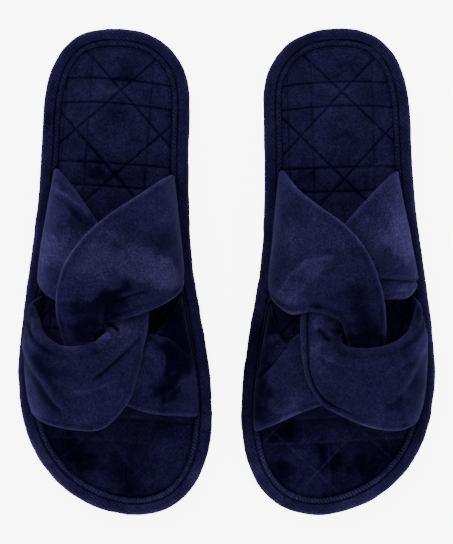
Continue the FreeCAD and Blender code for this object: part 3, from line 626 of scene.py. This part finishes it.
def strap_relief(key, seed, grid, t, v, edge, free):
    """How far the strap's top and bottom stand from its middle surface."""
    thick = TAB_THICK + (LEG_THICK - TAB_THICK) * free + (KNOT_THICK - LEG_THICK) * bell(t, 0.5, KNOT_T)
    radius = thick * 0.55
    round_off = np.sqrt(np.clip(1 - (1 - np.minimum(edge / radius, 1)) ** 2, 0, 1))
    half = thick / 2 * round_off
    padded = free * smoothstep(edge / 6)
    lumps, ripples = strap_noise(t, v, (26, 13), seed), strap_noise(t, v, (11, 5), seed + 1)
    top = half + padded * (0.55 * lumps + 0.22 * ripples)
    # a rolled edge: a bead, and the seam beside it
    top += free * (0.22 * bell(edge, 1.9, 1.1) - 0.30 * bell(edge, 3.9, 0.7))
    if key in HEMS:
        hem, beyond = hem_at(key, t, v, edge)
        top += hem * (smoothstep(beyond / 1.4) - 0.9 * (1 - smoothstep(beyond)) - 0.7 * bell(beyond, 0, 0.45))
    roll, valley = roll_at(key, t, v, edge)
    top += 0.45 * roll - 0.75 * valley
    # gathers where the bend is bunched at its inner edge
    gather = bell(t, 0.5, GATHER_T) * np.exp(-(1 - v) * 3.2) * smoothstep(edge / 2.5)
    top += 0.55 * gather * np.sin(2 * math.pi * (t * 15 + 0.9 * strap_noise(t, v, (40, 30), seed + 2)))
    points = grid.reshape(-1, 3)[:, :2]
    for spec in CREASES[key]:
        top += free * crease_height(points, t, spec).reshape(t.shape)
    return top, half + padded * (0.3 * strap_noise(t, v, (15, 9), seed + 3))


def strap_nap_and_painted_light(key, seed, grid, t, v, edge, free):
    """How the pile of the strap's top is brushed, with the shade and highlight painted on it."""
    flat = grid.reshape(-1, 3)
    nap_and_painted_light = np.full(t.shape, 0.5)
    for (low_t, high_t), specs in STRAP_NAP_AND_PAINTED_LIGHT[key].items():
        nap_and_painted_light += 1.5 * patches(flat, specs, seed + 6).reshape(t.shape) * ((t >= low_t) & (t <= high_t))
    # painted shade in each crease with a painted highlight on the rise beside it, and on each ridge a painted
    # highlight with painted shade beside it
    for line, drop, _, _, _, low_t, high_t in CREASES[key]:
        gap, share = (part.reshape(t.shape) for part in distance_to_line(flat[:, :2], line))
        fade = within(share, 0, 1, 0.2) * ((t >= low_t) & (t <= high_t))
        if drop > 0:
            nap_and_painted_light -= 0.10 * drop * fade * bell(gap, -0.4, 1.1)
            nap_and_painted_light += 0.05 * min(drop, 2.0) * fade * bell(gap, 1.4, 1.2)
        else:
            nap_and_painted_light -= 0.15 * drop * fade * bell(gap, 0, 1.3)
            nap_and_painted_light += 0.10 * drop * fade * bell(gap, 3.4, 1.8)
    # painted highlight on the roll along the inner edge, and painted shade in the valley beside it
    roll, valley = roll_at(key, t, v, edge)
    nap_and_painted_light += 0.07 * roll - 0.20 * valley * (1 + 0.5 * strap_noise(t, v, (26, 13), seed))
    front = (t < 0.5) if key[1] == LATERAL else (t > 0.56)
    nap_and_painted_light -= 0.06 * free * front
    # painted shade in the hem's seam
    if key in HEMS:
        hem, beyond = hem_at(key, t, v, edge)
        nap_and_painted_light -= 0.26 * hem * bell(beyond, 0, 0.8)
    blotch = soft_noise(flat, (17, 12, 17), seed + 4) + 0.6 * soft_noise(flat, (7, 6, 7), seed + 5)
    nap_and_painted_light += 0.05 * free * blotch.reshape(t.shape)
    # painted highlight along the strap's turned edges, and painted shade in the seam beside the edge's bead
    nap_and_painted_light += 0.15 * free * bell(edge, 0, 2.0) - 0.10 * free * bell(edge, 3.8, 1.0)
    nap_and_painted_light[v > 0.999] = 0.5
    return nap_and_painted_light


def strap_mesh(foot, side_of_foot):
    key = (foot, side_of_foot)
    name = "medial_strap" if side_of_foot == MEDIAL else "lateral_strap"
    seed = 10 * (side_of_foot + 2) + (5 if foot == "left" else 0)
    grid, ups, t, v, edge, free = strap_grid(foot, side_of_foot)
    top, bottom = strap_relief(key, seed, grid, t, v, edge, free)
    # one closed loop of points per row: over the top from edge to edge, then back underneath
    rows, columns = t.shape
    loop = 2 * columns - 2
    points = np.zeros((rows, loop, 3))
    points[:, :columns] = grid + ups * top[:, :, None]
    points[:, columns:] = (grid - ups * bottom[:, :, None])[:, 1:-1][:, ::-1]
    faces = grid_faces(rows, loop, wrap_columns=True)
    faces.append(list(range(loop))[::-1])
    faces.append([(rows - 1) * loop + k for k in range(loop)])
    made = make_mesh(foot, name, points, faces, STRAP_VELOUR)
    nap_and_painted_light = np.full((rows, loop), STRAP_BACK_TONE)
    nap_and_painted_light[:, :columns] = strap_nap_and_painted_light(key, seed, grid, t, v, edge, free)
    return brush(made, nap_and_painted_light)


def crease_height(points, t, spec):
    """Height of one crease: a drop on the right of its line, and a soft rise on its left."""
    line, drop, drop_reach, rise, rise_reach, low_t, high_t = spec
    gap, share = distance_to_line(points, line)
    if drop < 0:
        shape = -drop * bell(gap, 0, drop_reach)
    else:
        right, left = np.clip(-gap, 0, None), np.clip(gap, 0, None)
        shape = np.where(
            gap < 0,
            -drop * np.exp(-right / drop_reach),
            -drop * bell(left, 0, 0.55) + rise * smoothstep(left / 1.2) * np.exp(-left / rise_reach),
        )
    return shape * within(share, 0, 1, 0.22) * ((t.ravel() >= low_t) & (t.ravel() <= high_t))


TOE_START, TOE_FADE = -60, 30


def toeward(points):
    """0 from the heel to the front straps, rising to 1 at the toe."""
    return smoothstep((TOE_START - points[:, 1]) / TOE_FADE)


# ---------------- platform wrap
# Patches round the rim and the piping: where in the foot frame, how wide, and how much darker (-) or lighter (+).
# The dark ones beside the straps' ends are painted shade.
RIM_PATCHES_AND_SHADE = {
    "left": [
        (-50, -32, 12, -0.26), (-53, -52, 14, -0.26), (-52, -74, 12, -0.2), (-38, -112, 14, 0.1),
        (-30, 118, 14, -0.08), (44, 60, 16, -0.06), (50, 0, 12, 0.06), (52, -60, 14, -0.06), (20, -128, 14, 0.08),
    ],
    "right": [
        (-50, -36, 12, -0.16), (-50, -60, 14, -0.08), (40, 78, 18, -0.2), (40, 40, 16, -0.12), (50, -10, 12, -0.08),
        (44, -96, 14, 0.06), (-30, -118, 14, 0.08), (-44, 60, 18, 0.05), (10, 132, 10, 0.05),
    ],
}
WRAP_PROFILE = [  # inset from the outline, and height, from under the sole to the rim's inner edge
    (11.5, 3.05), (8, 3), (4.5, 3), (2.6, 3.02), (1.4, 3.25), (0.6, 3.9), (0.15, 5), (0, 6.6),
    (-0.15, 8.8), (-0.25, 11), (-0.22, 13.2), (-0.15, 15.4), (0, 17.2), (0.25, 18.8), (0.7, 20.1),
    (1.4, 21.2), (2.3, 21.8), (3.3, 22.05), (4.4, 22.1), (5.2, 22.05), (5.8, 21.9), (6.2, 21.5),
    (6.36, 20.8), (6.4, 19), (6.4, 16.8),
]
WRAP_INSIDE = [(6.2, 15.9), (5, 15.9), (2.4, 14.5), (1.2, 10), (1.3, 5), (3, 4), (8, 4), (11.5, 4)]
WRAP_OUTER_ROWS = 2 * len(WRAP_PROFILE) - 2  # rows of the rounded profile that are on the outer face
WRAP_GROOVE_ROW = 34  # the rim's inner edge starts after this row
WRAP_UNEVEN, WRAP_UNEVEN_ABOVE = 0.42, 3.3  # how uneven the wrap's face is, and above which height


def wrap_mesh(foot):
    """The wrap's profile swept round the outline, with soft unevenness on its outer face."""
    profile = np.array(WRAP_PROFILE + WRAP_INSIDE, float)
    # round the profile off between its points
    fine = np.linspace(0, len(profile) - 1, 2 * len(profile) - 1)
    dense = np.column_stack([np.interp(fine, np.arange(len(profile)), profile[:, k]) for k in range(2)])
    dense[1:-1] = 0.25 * dense[:-2] + 0.5 * dense[1:-1] + 0.25 * dense[2:]
    row = np.arange(len(dense))
    points = np.array([np.column_stack([inset(d), np.full(RIM_SAMPLES, height)]) for d, height in dense])
    flat = points.reshape(-1, 3)
    seed = 40 if foot == "left" else 50
    bumps = soft_noise(flat, (9, 9, 14), seed) * 0.5 + soft_noise(flat, (3.4, 3.4, 6), seed + 1) * 0.3
    step = np.gradient(dense, axis=0)
    step /= np.linalg.norm(step, axis=1)[:, None]
    out = np.zeros_like(points)
    out[:, :, :2] = -EDGE_INWARD * step[:, 1, None, None]
    out[:, :, 2] = step[:, 0, None]
    uneven = np.where((dense[:, 1] > WRAP_UNEVEN_ABOVE) & (row < WRAP_OUTER_ROWS), WRAP_UNEVEN, 0.0)
    points = points + out * (bumps.reshape(points.shape[:2]) * uneven[:, None])[:, :, None]
    faces = grid_faces(len(dense), RIM_SAMPLES, wrap_rows=True, wrap_columns=True)
    made = make_mesh(foot, "platform_wrap", points, faces, WRAP_VELOUR)
    nap_and_painted_light = 0.5 + 0.10 * soft_noise(flat, (16, 16, 20), seed + 2) + 0.05 * soft_noise(flat, (6, 6, 8), seed + 3)
    # a painted highlight that grows towards the toe, and the rim's patches with their painted shade
    nap_and_painted_light += 0.07 * toeward(flat) + patches(flat, RIM_PATCHES_AND_SHADE[foot], seed + 4)
    # painted shade in the groove at the rim's inner edge
    groove = np.where(row > WRAP_GROOVE_ROW, smoothstep((dense[:, 0] - 5.5) / 0.7), 0.0)
    nap_and_painted_light = nap_and_painted_light.reshape(points.shape[:2]) * (1 - 0.5 * groove[:, None])
    return brush(made, nap_and_painted_light)


# ---------------- piping beside the rim
def slot_ranges(foot):
    """Where strap ends pass through the piping: 0 elsewhere, 1 in a slot, for each point round the outline."""
    held = np.zeros(RIM_SAMPLES)
    line = inset(SLOT_MIDDLE)
    for side_of_foot in (MEDIAL, LATERAL):
        for ys in STRAP_ENDS[(foot, side_of_foot)]:
            low, high = min(ys) - 0.6, max(ys) + 0.6
            beside = line[:, 0] * side_of_foot > 0
            inside = smoothstep((line[:, 1] - low) / 1.6 + 1) * smoothstep((high - line[:, 1]) / 1.6 + 1)
            held = np.maximum(held, inside * beside)
    return held


PIPING_STEPS = 20
PIPING_OUTER, PIPING_INNER, HELD_BACK = 6.45, 9.75, 1.95  # its two edges, and how far a strap's end holds it back
PIPING_LEVEL, PIPING_ABOVE, PIPING_BELOW = 20.6, 2.0, 4.2
RIB_PITCH, RIB_DEPTH, RIB_SLANT = 2.1, 0.07, 2.5


def piping_mesh(foot):
    """A velour roll between the rim and the footbed, thinner where a strap's end goes down beside it."""
    angle = np.linspace(0, 2 * math.pi, PIPING_STEPS, endpoint=False)
    inner = PIPING_INNER - HELD_BACK * slot_ranges(foot)
    middle, half = (PIPING_OUTER + inner) / 2, (inner - PIPING_OUTER) / 2
    points = np.zeros((PIPING_STEPS, RIM_SAMPLES, 3))
    turn = 2 * math.pi * np.arange(RIM_SAMPLES) / RIM_SAMPLES * round(EDGE_LENGTH / RIB_PITCH)
    ruche = 1 + RIB_DEPTH * np.sin(turn)
    for k, (across, up) in enumerate(zip(-np.cos(angle), np.sin(angle))):
        above, below = PIPING_ABOVE * abs(up) ** 0.8 * ruche, PIPING_BELOW * abs(up) ** 0.6
        points[k, :, :2] = EDGE + EDGE_INWARD * (middle + across * half * ruche)[:, None]
        points[k, :, 2] = PIPING_LEVEL + (above if up > 0 else -below)
    flat = points.reshape(-1, 3)
    flat = flat + 0.1 * np.column_stack([soft_noise(flat, 3.0, 60 + n) for n in range(3)])
    faces = grid_faces(PIPING_STEPS, RIM_SAMPLES, wrap_rows=True, wrap_columns=True)
    made = make_mesh(foot, "rim_piping", flat, faces, WRAP_VELOUR)
    slant = turn[None, :] + RIB_SLANT * np.cos(angle)[:, None]
    # painted shade and highlight: the piping's underside kept dark and its top lighter, in stripes along the ribs
    nap_and_painted_light = (0.16 + np.clip(np.sin(angle), 0, 1)[:, None] ** 0.7 * (0.40 + 0.12 * np.sin(slant))).ravel()
    # random tone, the rim's patches, and a painted highlight that grows towards the toe
    nap_and_painted_light += 0.06 * soft_noise(flat, 5, 64) + patches(flat, RIM_PATCHES_AND_SHADE[foot], 66) + 0.08 * toeward(flat)
    return brush(made, nap_and_painted_light)


# ---------------- footbed cover and its quilting
QUILT_PITCH, QUILT_GAP = 46.5, 13.2
# The quilting's middle, and its turn in degrees.
QUILT = {"left": ((2.7, 74.0), 1.6), "right": ((-1.6, 76.6), 4.1)}
# How the quilting is pulled out of square: at the toe by (x, y) and tilted, the rows across, and the diagonals.
QUILT_PULL = {"left": ((3.8, 2.7), 0.020, 0.0, 1.4), "right": ((0.0, 0.0), 0.0, -1.4, 0.0)}
QUILT_REACH, QUILT_REPEATS = 330, 8  # the rows are drawn this far, then cut off at the quilted field
FIELD_INSET, EDGE_ROW_INSET = 1.9, 1.15  # from the cover's edge to the quilted field, and to the row of stitching
FAR_INSIDE = 9.0  # a distance from the cover's edge at which the edge has no effect
COVER_ROWS, COVER_COLUMNS, UNDER_STEP = 440, 163, 6  # the flat underside keeps one column in six
COVER_LEVEL, COVER_UNDER, COVER_PUFF = 20.75, 17.3, 1.3
END_ROWS = 9  # rows that are crowded together at the toe and at the heel


def quilt_turn(foot):
    """The quilting's middle, and the matrix that turns its own frame into the foot frame."""
    middle, turn = QUILT[foot]
    a = math.radians(turn)
    return middle, np.array([[math.cos(a), -math.sin(a)], [math.sin(a), math.cos(a)]])


def nearest_row(value, offset):
    """Distance from value to the nearest of the rows at (k + 1/2) pitch + offset."""
    return np.abs((value - offset) / QUILT_PITCH - np.floor((value - offset) / QUILT_PITCH) - 0.5) * QUILT_PITCH


def quilt_pull(foot, points, is_across):
    """How far each foot-frame point of the quilting is pulled out of square. The rows across arch at the heel."""
    toe_shift, toe_tilt, rows, diagonals = QUILT_PULL[foot]
    x, y = points[:, 0], points[:, 1]
    toe, heel = smoothstep((-55 - y) / 35), smoothstep((y - 40) / 45)
    up = toe * (toe_shift[1] + toe_tilt * x)
    up = up + (rows * heel - 0.002 * (x**2 - 300) * heel if is_across else diagonals * heel)
    return np.column_stack([toe * toe_shift[0], up])


def quilt_rows(foot, points):
    """Distances of each point to the nearest row across, row along, and diagonal row of the quilting."""
    flat = np.asarray(points)[:, :2]
    square = [flat - quilt_pull(foot, flat - quilt_pull(foot, flat, rows), rows) for rows in (True, False)]
    middle, turn = quilt_turn(foot)
    q_across, q = ((part - middle) @ turn for part in square)
    across, along = (
        np.min([nearest_row(v, s * QUILT_GAP / 2) for s in (-1, 1)], axis=0) for v in (q_across[:, 1], q[:, 0])
    )
    diagonal = np.min([nearest_row(q[:, 0] + s * q[:, 1], 0) / math.sqrt(2) for s in (-1, 1)], axis=0)
    return across, along, diagonal


def row_depth(foot, points, width, power):
    """How deep each point lies in a row's valley, 1 on a tight row. The rows along the foot are sewn looser."""
    gaps = quilt_rows(foot, points)
    return np.max([share * np.exp(-((gap / width) ** power)) for gap, share in zip(gaps, (1.0, 0.55, 1.0))], axis=0)


def edge_distance(points, border):
    """Distance of each point to a closed border, worked out in blocks."""
    out = np.zeros(len(points))
    for k in range(0, len(points), 4000):
        block = points[k : k + 4000, None, :2] - border[None, ::2]
        out[k : k + 4000] = np.sqrt((block**2).sum(2)).min(1)
    return out


def cover_top(foot, points, rim_gap):
    """Height of the quilted cover."""
    gap = np.min(quilt_rows(foot, points), axis=0)
    puff = COVER_PUFF * (1 - row_depth(foot, points, 1.4, 1.1)) * (0.75 + 0.25 * smoothstep(gap / 7))
    stitched = 0.75 * (1 - np.exp(-np.abs(rim_gap - 1.3) / 1.1))
    flat3 = np.column_stack([points[:, :2], np.zeros(len(points))])
    wave = 0.18 * soft_noise(flat3, (11, 11, 1), 70) + 0.10 * soft_noise(flat3, (4, 4, 1), 71)
    pucker = 0.12 * soft_noise(flat3, (1.9, 1.9, 1), 72) * bell(gap, 0, 1.8)
    roll = -0.7 * (1 - np.clip(rim_gap / 1.0, 0, 1)) ** 2
    return COVER_LEVEL + np.minimum(puff, 0.35 + stitched) + wave + pucker + roll


def eased(count, share):
    """Shares from 0 to 1, closer together near both ends."""
    s = np.linspace(0, 1, count)
    return (1 - share) * s + share * (0.5 - 0.5 * np.cos(math.pi * s))


def cover_mesh(foot):
    """The quilted top as a grid that narrows with the sole, closed by a wall and a coarser flat underside."""
    border = inset(COVER_INSET - 0.15)
    low, high = border[:, 1].min(), border[:, 1].max()
    ys = low + 0.02 + (high - low - 0.04) * eased(COVER_ROWS, 0.38)
    crowd = (np.arange(1, END_ROWS) / END_ROWS) ** 2
    ys[1:END_ROWS] = low + 0.02 + (ys[END_ROWS] - low) * crowd
    ys[-END_ROWS:-1] = high - 0.02 - (high - ys[-END_ROWS - 1]) * crowd[::-1]
    top_index, bottom_index = border[:, 1].argmax(), border[:, 1].argmin()
    order = np.roll(border, -top_index, 0)
    split = (bottom_index - top_index) % len(border)
    one, two = order[: split + 1][::-1], np.vstack([order[split:], order[:1]])
    x1, x2 = np.interp(ys, one[:, 1], one[:, 0]), np.interp(ys, two[:, 1], two[:, 0])
    left_x, right_x = np.minimum(x1, x2), np.maximum(x1, x2)
    grid = np.zeros((COVER_ROWS, COVER_COLUMNS, 3))
    grid[:, :, 0] = left_x[:, None] + (right_x - left_x)[:, None] * eased(COVER_COLUMNS, 0.25)
    grid[:, :, 1] = ys[:, None]
    flat = grid.reshape(-1, 3)
    rim_gap = edge_distance(flat, border)
    flat[:, 2] = cover_top(foot, flat, rim_gap)
    count = len(flat)
    faces = grid_faces(COVER_ROWS, COVER_COLUMNS)
    row_of, column_of = np.divmod(np.arange(count), COVER_COLUMNS)
    kept = (column_of % UNDER_STEP == 0) | (row_of == 0) | (row_of == COVER_ROWS - 1)
    below = np.full(count, -1)
    below[kept] = count + np.arange(kept.sum())
    under = flat[kept].copy()
    under[:, 2] = COVER_UNDER
    for r in range(COVER_ROWS - 1):
        for c in range(0, COVER_COLUMNS - 1, UNDER_STEP):
            ends = []
            for row in (r, r + 1):
                span = below[row * COVER_COLUMNS + c : row * COVER_COLUMNS + c + UNDER_STEP + 1]
                ends.append([int(n) for n in span if n >= 0])
            faces.append(ends[1] + ends[0][::-1])
    index = np.arange(count).reshape(COVER_ROWS, COVER_COLUMNS)
    loop = [*index[0], *index[1:, -1], *index[-1, -2::-1], *index[-2:0:-1, 0]]
    for a, b in zip(loop, loop[1:] + loop[:1]):
        faces.append([a, b, below[b], below[a]])
    made = make_mesh(foot, "footbed_cover", np.vstack([flat, under]), faces, FOOTBED_VELOUR)
    level = flat * (1, 1, 0)
    toe = toeward(flat)
    nap_and_painted_light = np.full(len(flat) + len(under), 0.5)
    on_top = nap_and_painted_light[:count]
    # painted shade in the quilting's rows, turning to a painted highlight on the rows at the toe
    on_top += (TOE_ROW_HIGHLIGHT[foot] * toe - 0.45 * (1 - toe)) * row_depth(foot, flat, 0.5, 2)
    # painted highlight on the puffs' shoulders beside the rows, away from the toe
    on_top += 0.10 * (1 - toe) * (row_depth(foot, flat, 3.2, 2) - row_depth(foot, flat, 1.4, 2))
    on_top += 0.07 * soft_noise(level, (14, 11, 1), 74)
    # painted shade along the cover's edge beside the piping, and painted shadow of the straps over the toe
    on_top -= 0.12 * bell(rim_gap, 0.2, 0.9) + 0.20 * toe
    on_top += 1.4 * patches(level, FOOTBED_PATCHES_AND_SHADE[foot], 76)
    return brush(made, nap_and_painted_light)


TOE_ROW_HIGHLIGHT = {"left": 0.34, "right": 0.12}  # painted highlight: how much lighter the quilting's rows are at the toe
# Patches on the footbed cover: where in the foot frame, how wide, and how much darker (-) or lighter (+). The dark
# ones next to the straps are painted shade; the others are brushed pile.
FOOTBED_PATCHES_AND_SHADE = {
    "left": [
        (6, 68, 10, -0.11), (0.5, 111, 3, -0.16), (-18, 50, 9, -0.18), (-27, 82, 6, -0.08), (-12, 98, 10, 0.05),
        (22, 60, 8, 0.05), (10, 46, 8, -0.14), (-32, -110, 8, -0.2), (-5, -102, 6, -0.18), (17, -107, 8, -0.18),
        (-23, -103, 7, 0.08), (4, -110, 4, 0.08), (-3, -86, 6, 0.06), (-15, -88, 5, 0.06), (30, -100, 7, -0.12),
        (0, -124, 9, -0.1), (-30, -90, 7, -0.14), (-16, -112, 5, 0.08), (10, -92, 6, -0.08), (26, -90, 5, 0.07),
    ],
    "right": [
        (4, 100, 9, 0.06), (-14, 70, 8, -0.1), (10, 60, 10, -0.12), (-4, 112, 5, -0.08), (20, 84, 8, 0.05),
        (-10, 46, 9, -0.14), (20, -102, 8, -0.16), (-6, -108, 8, -0.12), (-26, -100, 8, 0.08), (6, -96, 6, 0.08),
        (30, -94, 7, -0.12), (-10, -122, 8, -0.12), (10, -118, 6, 0.06), (-4, 107.5, 4, -0.18),
        (-10, 106.5, 4.5, -0.16), (4, 90, 4, -0.16), (-2, 88.5, 4.5, -0.18), (-31.8, 83.7, 3.5, -0.2),
        (9.3, 54.6, 6, -0.2), (-1, 50.2, 5, -0.18),
    ],
}
STITCH_LENGTH, STITCH_GAP, STITCH_RADIUS, STITCH_BOW = 2.2, 0.6, 0.18, 0.16
STITCH_RINGS, RING_POINTS = 5, 6


def stitches(lines):
    """Small rounded threads laid end to end along polylines of (x, y, z) points, as points and faces."""
    round_it = 2 * math.pi * np.arange(RING_POINTS) / RING_POINTS
    bow = np.sin(np.linspace(0, math.pi, STITCH_RINGS))
    radius = (STITCH_RADIUS * (0.45 + 0.55 * bow))[:, None, None]
    points, faces = [], []
    for line in lines:
        line = np.asarray(line, float)
        length = np.linalg.norm(np.diff(line, axis=0), axis=1)
        along = np.concatenate([[0], np.cumsum(length)])
        if along[-1] < STITCH_LENGTH:
            continue
        starts = np.arange(0.4, along[-1] - STITCH_LENGTH, STITCH_LENGTH + STITCH_GAP)
        for start in starts:
            at = start + np.linspace(0, STITCH_LENGTH, STITCH_RINGS)
            middle = np.column_stack([np.interp(at, along, line[:, k]) for k in range(3)])
            middle[:, 2] += STITCH_BOW * bow - 0.10
            forward = middle[-1] - middle[0]
            forward /= np.linalg.norm(forward)
            aside = np.cross(forward, (0, 0, 1))
            aside /= np.linalg.norm(aside)
            up = np.cross(aside, forward)
            spokes = np.outer(np.cos(round_it), aside) + np.outer(np.sin(round_it), up)
            base = len(points)
            points.extend((middle[:, None] + spokes[None] * radius).reshape(-1, 3))
            faces += grid_faces(STITCH_RINGS, RING_POINTS, wrap_columns=True, start=base)
            faces.append([base + n for n in range(RING_POINTS)])
            faces.append([len(points) - RING_POINTS + n for n in range(RING_POINTS)][::-1])
    return np.array(points), faces


def quilt_lines(foot):
    """The quilting rows as polylines on the cover, clipped to the quilted field."""
    middle, turn = quilt_turn(foot)
    field = inset(COVER_INSET + FIELD_INSET)
    reach = np.arange(-QUILT_REACH, QUILT_REACH, 0.8)
    lines = []  # (is a row across, polyline in the quilting's own frame)
    for k in range(-QUILT_REPEATS, QUILT_REPEATS):
        base = (k + 0.5) * QUILT_PITCH
        for s in (-1, 1):
            offset = base + s * QUILT_GAP / 2
            lines.append((True, np.column_stack([reach, np.full_like(reach, offset)])))
            lines.append((False, np.column_stack([np.full_like(reach, offset), reach])))
            lines.append((False, np.column_stack([base + reach / math.sqrt(2), s * reach / math.sqrt(2)])))
    found = []
    for is_across, line in lines:
        xy = line @ turn.T + middle
        xy = xy + quilt_pull(foot, xy, is_across)
        keep = inside_border(xy, field)
        edges = np.flatnonzero(np.diff(np.concatenate([[0], keep.astype(int), [0]])))
        for low, high in zip(edges[::2], edges[1::2]):
            part = xy[low:high]
            if len(part) > 4:
                height = cover_top(foot, part, np.full(len(part), FAR_INSIDE))
                found.append(np.column_stack([part, height - 0.05]))
    return found


def inside_border(points, border):
    """True for each point inside a closed border, by counting crossings."""
    x, y = points[:, 0][:, None], points[:, 1][:, None]
    step = border[::4]
    ax, ay = step[:, 0][None], step[:, 1][None]
    bx, by = np.roll(step[:, 0], -1)[None], np.roll(step[:, 1], -1)[None]
    crosses = (ay > y) != (by > y)
    at = ax + (y - ay) * (bx - ax) / np.where(by == ay, 1e-9, by - ay)
    return (crosses & (x < at)).sum(1) % 2 == 1


def quilt_stitching(foot):
    return make_mesh(foot, "quilt_stitching", *stitches(quilt_lines(foot)), THREAD)


def edge_stitching(foot):
    line = inset(COVER_INSET + EDGE_ROW_INSET)
    ring = np.column_stack([line, cover_top(foot, line, np.full(len(line), 1.3)) + 0.10])
    return make_mesh(foot, "edge_stitching", *stitches([np.vstack([ring, ring[:1]])]), THREAD)


# ---------------- the pair
PIECES = [  # what builds a piece, its slot, its fill if it is padded, and the CAD nodes that it stands for
    (wrap_mesh, "wrap_velour", None, ["platform_wrap"]),
    (piping_mesh, "wrap_velour", None, ["rim_piping"]),
    (cover_mesh, "footbed_velour", 0.5, ["footbed_cover", "footbed_foam"]),
    (quilt_stitching, "thread", None, ["quilt_stitching"]),
    (edge_stitching, "thread", None, ["edge_stitching"]),
]
for side_of_foot, name in ((MEDIAL, "medial_strap"), (LATERAL, "lateral_strap")):
    layers = [f"{name}_{layer}" for layer in ("cover", "padding", "lining")]
    PIECES.append((partial(strap_mesh, side_of_foot=side_of_foot), "strap_velour", 0.55, layers))

for foot in SIDES:
    for build, material_slot, fill, nodes in PIECES:
        made = build(foot)
        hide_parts(*[f"{foot}_{node}" for node in nodes])
        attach(made, f"{foot}_slipper")
    for node, material in (("outsole", RUBBER), ("platform", PLATFORM_FOAM), ("insole_board", FIBRE)):
        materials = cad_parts[f"{foot}_{node}"].data.materials
        materials.clear()
        materials.append(material)

# ---------------- floor, light and camera
FLOOR_BELOW = 0.2 * MM  # keeps the floor's plane clear of the outsole's
floor_material, floor_tree, floor_shader = node_material("floor")
mottle = add_noise(floor_tree, 6.0, 2.0)
pale = add_ramp(floor_tree, mottle, [(0.3, (0.90, 0.90, 0.905)), (0.7, (0.93, 0.93, 0.935))])
glow = {"Emission Color": (1, 1, 1, 1), "Emission Strength": 7.0}
set_inputs(floor_tree, floor_shader, {"Base Color": pale, "Roughness": 0.9, **glow})
bpy.ops.mesh.primitive_plane_add(size=8.0, location=(0, 0, -FLOOR_BELOW))
floor = bpy.context.object
floor.name = "floor"
floor.data.materials.append(floor_material)

world = bpy.data.worlds.new("studio")
world.use_nodes = True
sky = world.node_tree.nodes["Background"]
set_inputs(world.node_tree, sky, {"Color": (0.96, 0.98, 1.0, 1), "Strength": 1.15})
bpy.context.scene.world = world


def area_light(name, location, size, power):
    """A square light aimed at the middle of the pair."""
    data = bpy.data.lights.new(name, "AREA")
    data.shape = "SQUARE"
    data.size = size
    data.energy = power
    lamp = bpy.data.objects.new(name, data)
    lamp.location = location
    aim = Vector((0, 0, 0.03)) - Vector(location)
    lamp.rotation_euler = aim.to_track_quat("-Z", "Y").to_euler()
    bpy.context.scene.collection.objects.link(lamp)


area_light("key", (-0.5, 0.9, 1.5), 0.9, 26)
area_light("fill", (0.9, -0.7, 1.3), 1.1, 12)
area_light("low", (0.0, -1.5, 0.5), 0.8, 6)

VIEW_HEIGHT = 298.5 * MM  # what the frame's long side shows
LENS = 400.0  # long, so the pair is seen almost without perspective
camera_data = bpy.data.cameras.new("camera")
camera_data.lens = LENS
camera = bpy.data.objects.new("camera", camera_data)
distance = VIEW_HEIGHT * LENS / camera_data.sensor_width
camera.location = (-0.05 * MM, -0.1 * MM, distance + 0.02)
camera_data.clip_end = 30
bpy.context.scene.collection.objects.link(camera)
bpy.context.scene.camera = camera
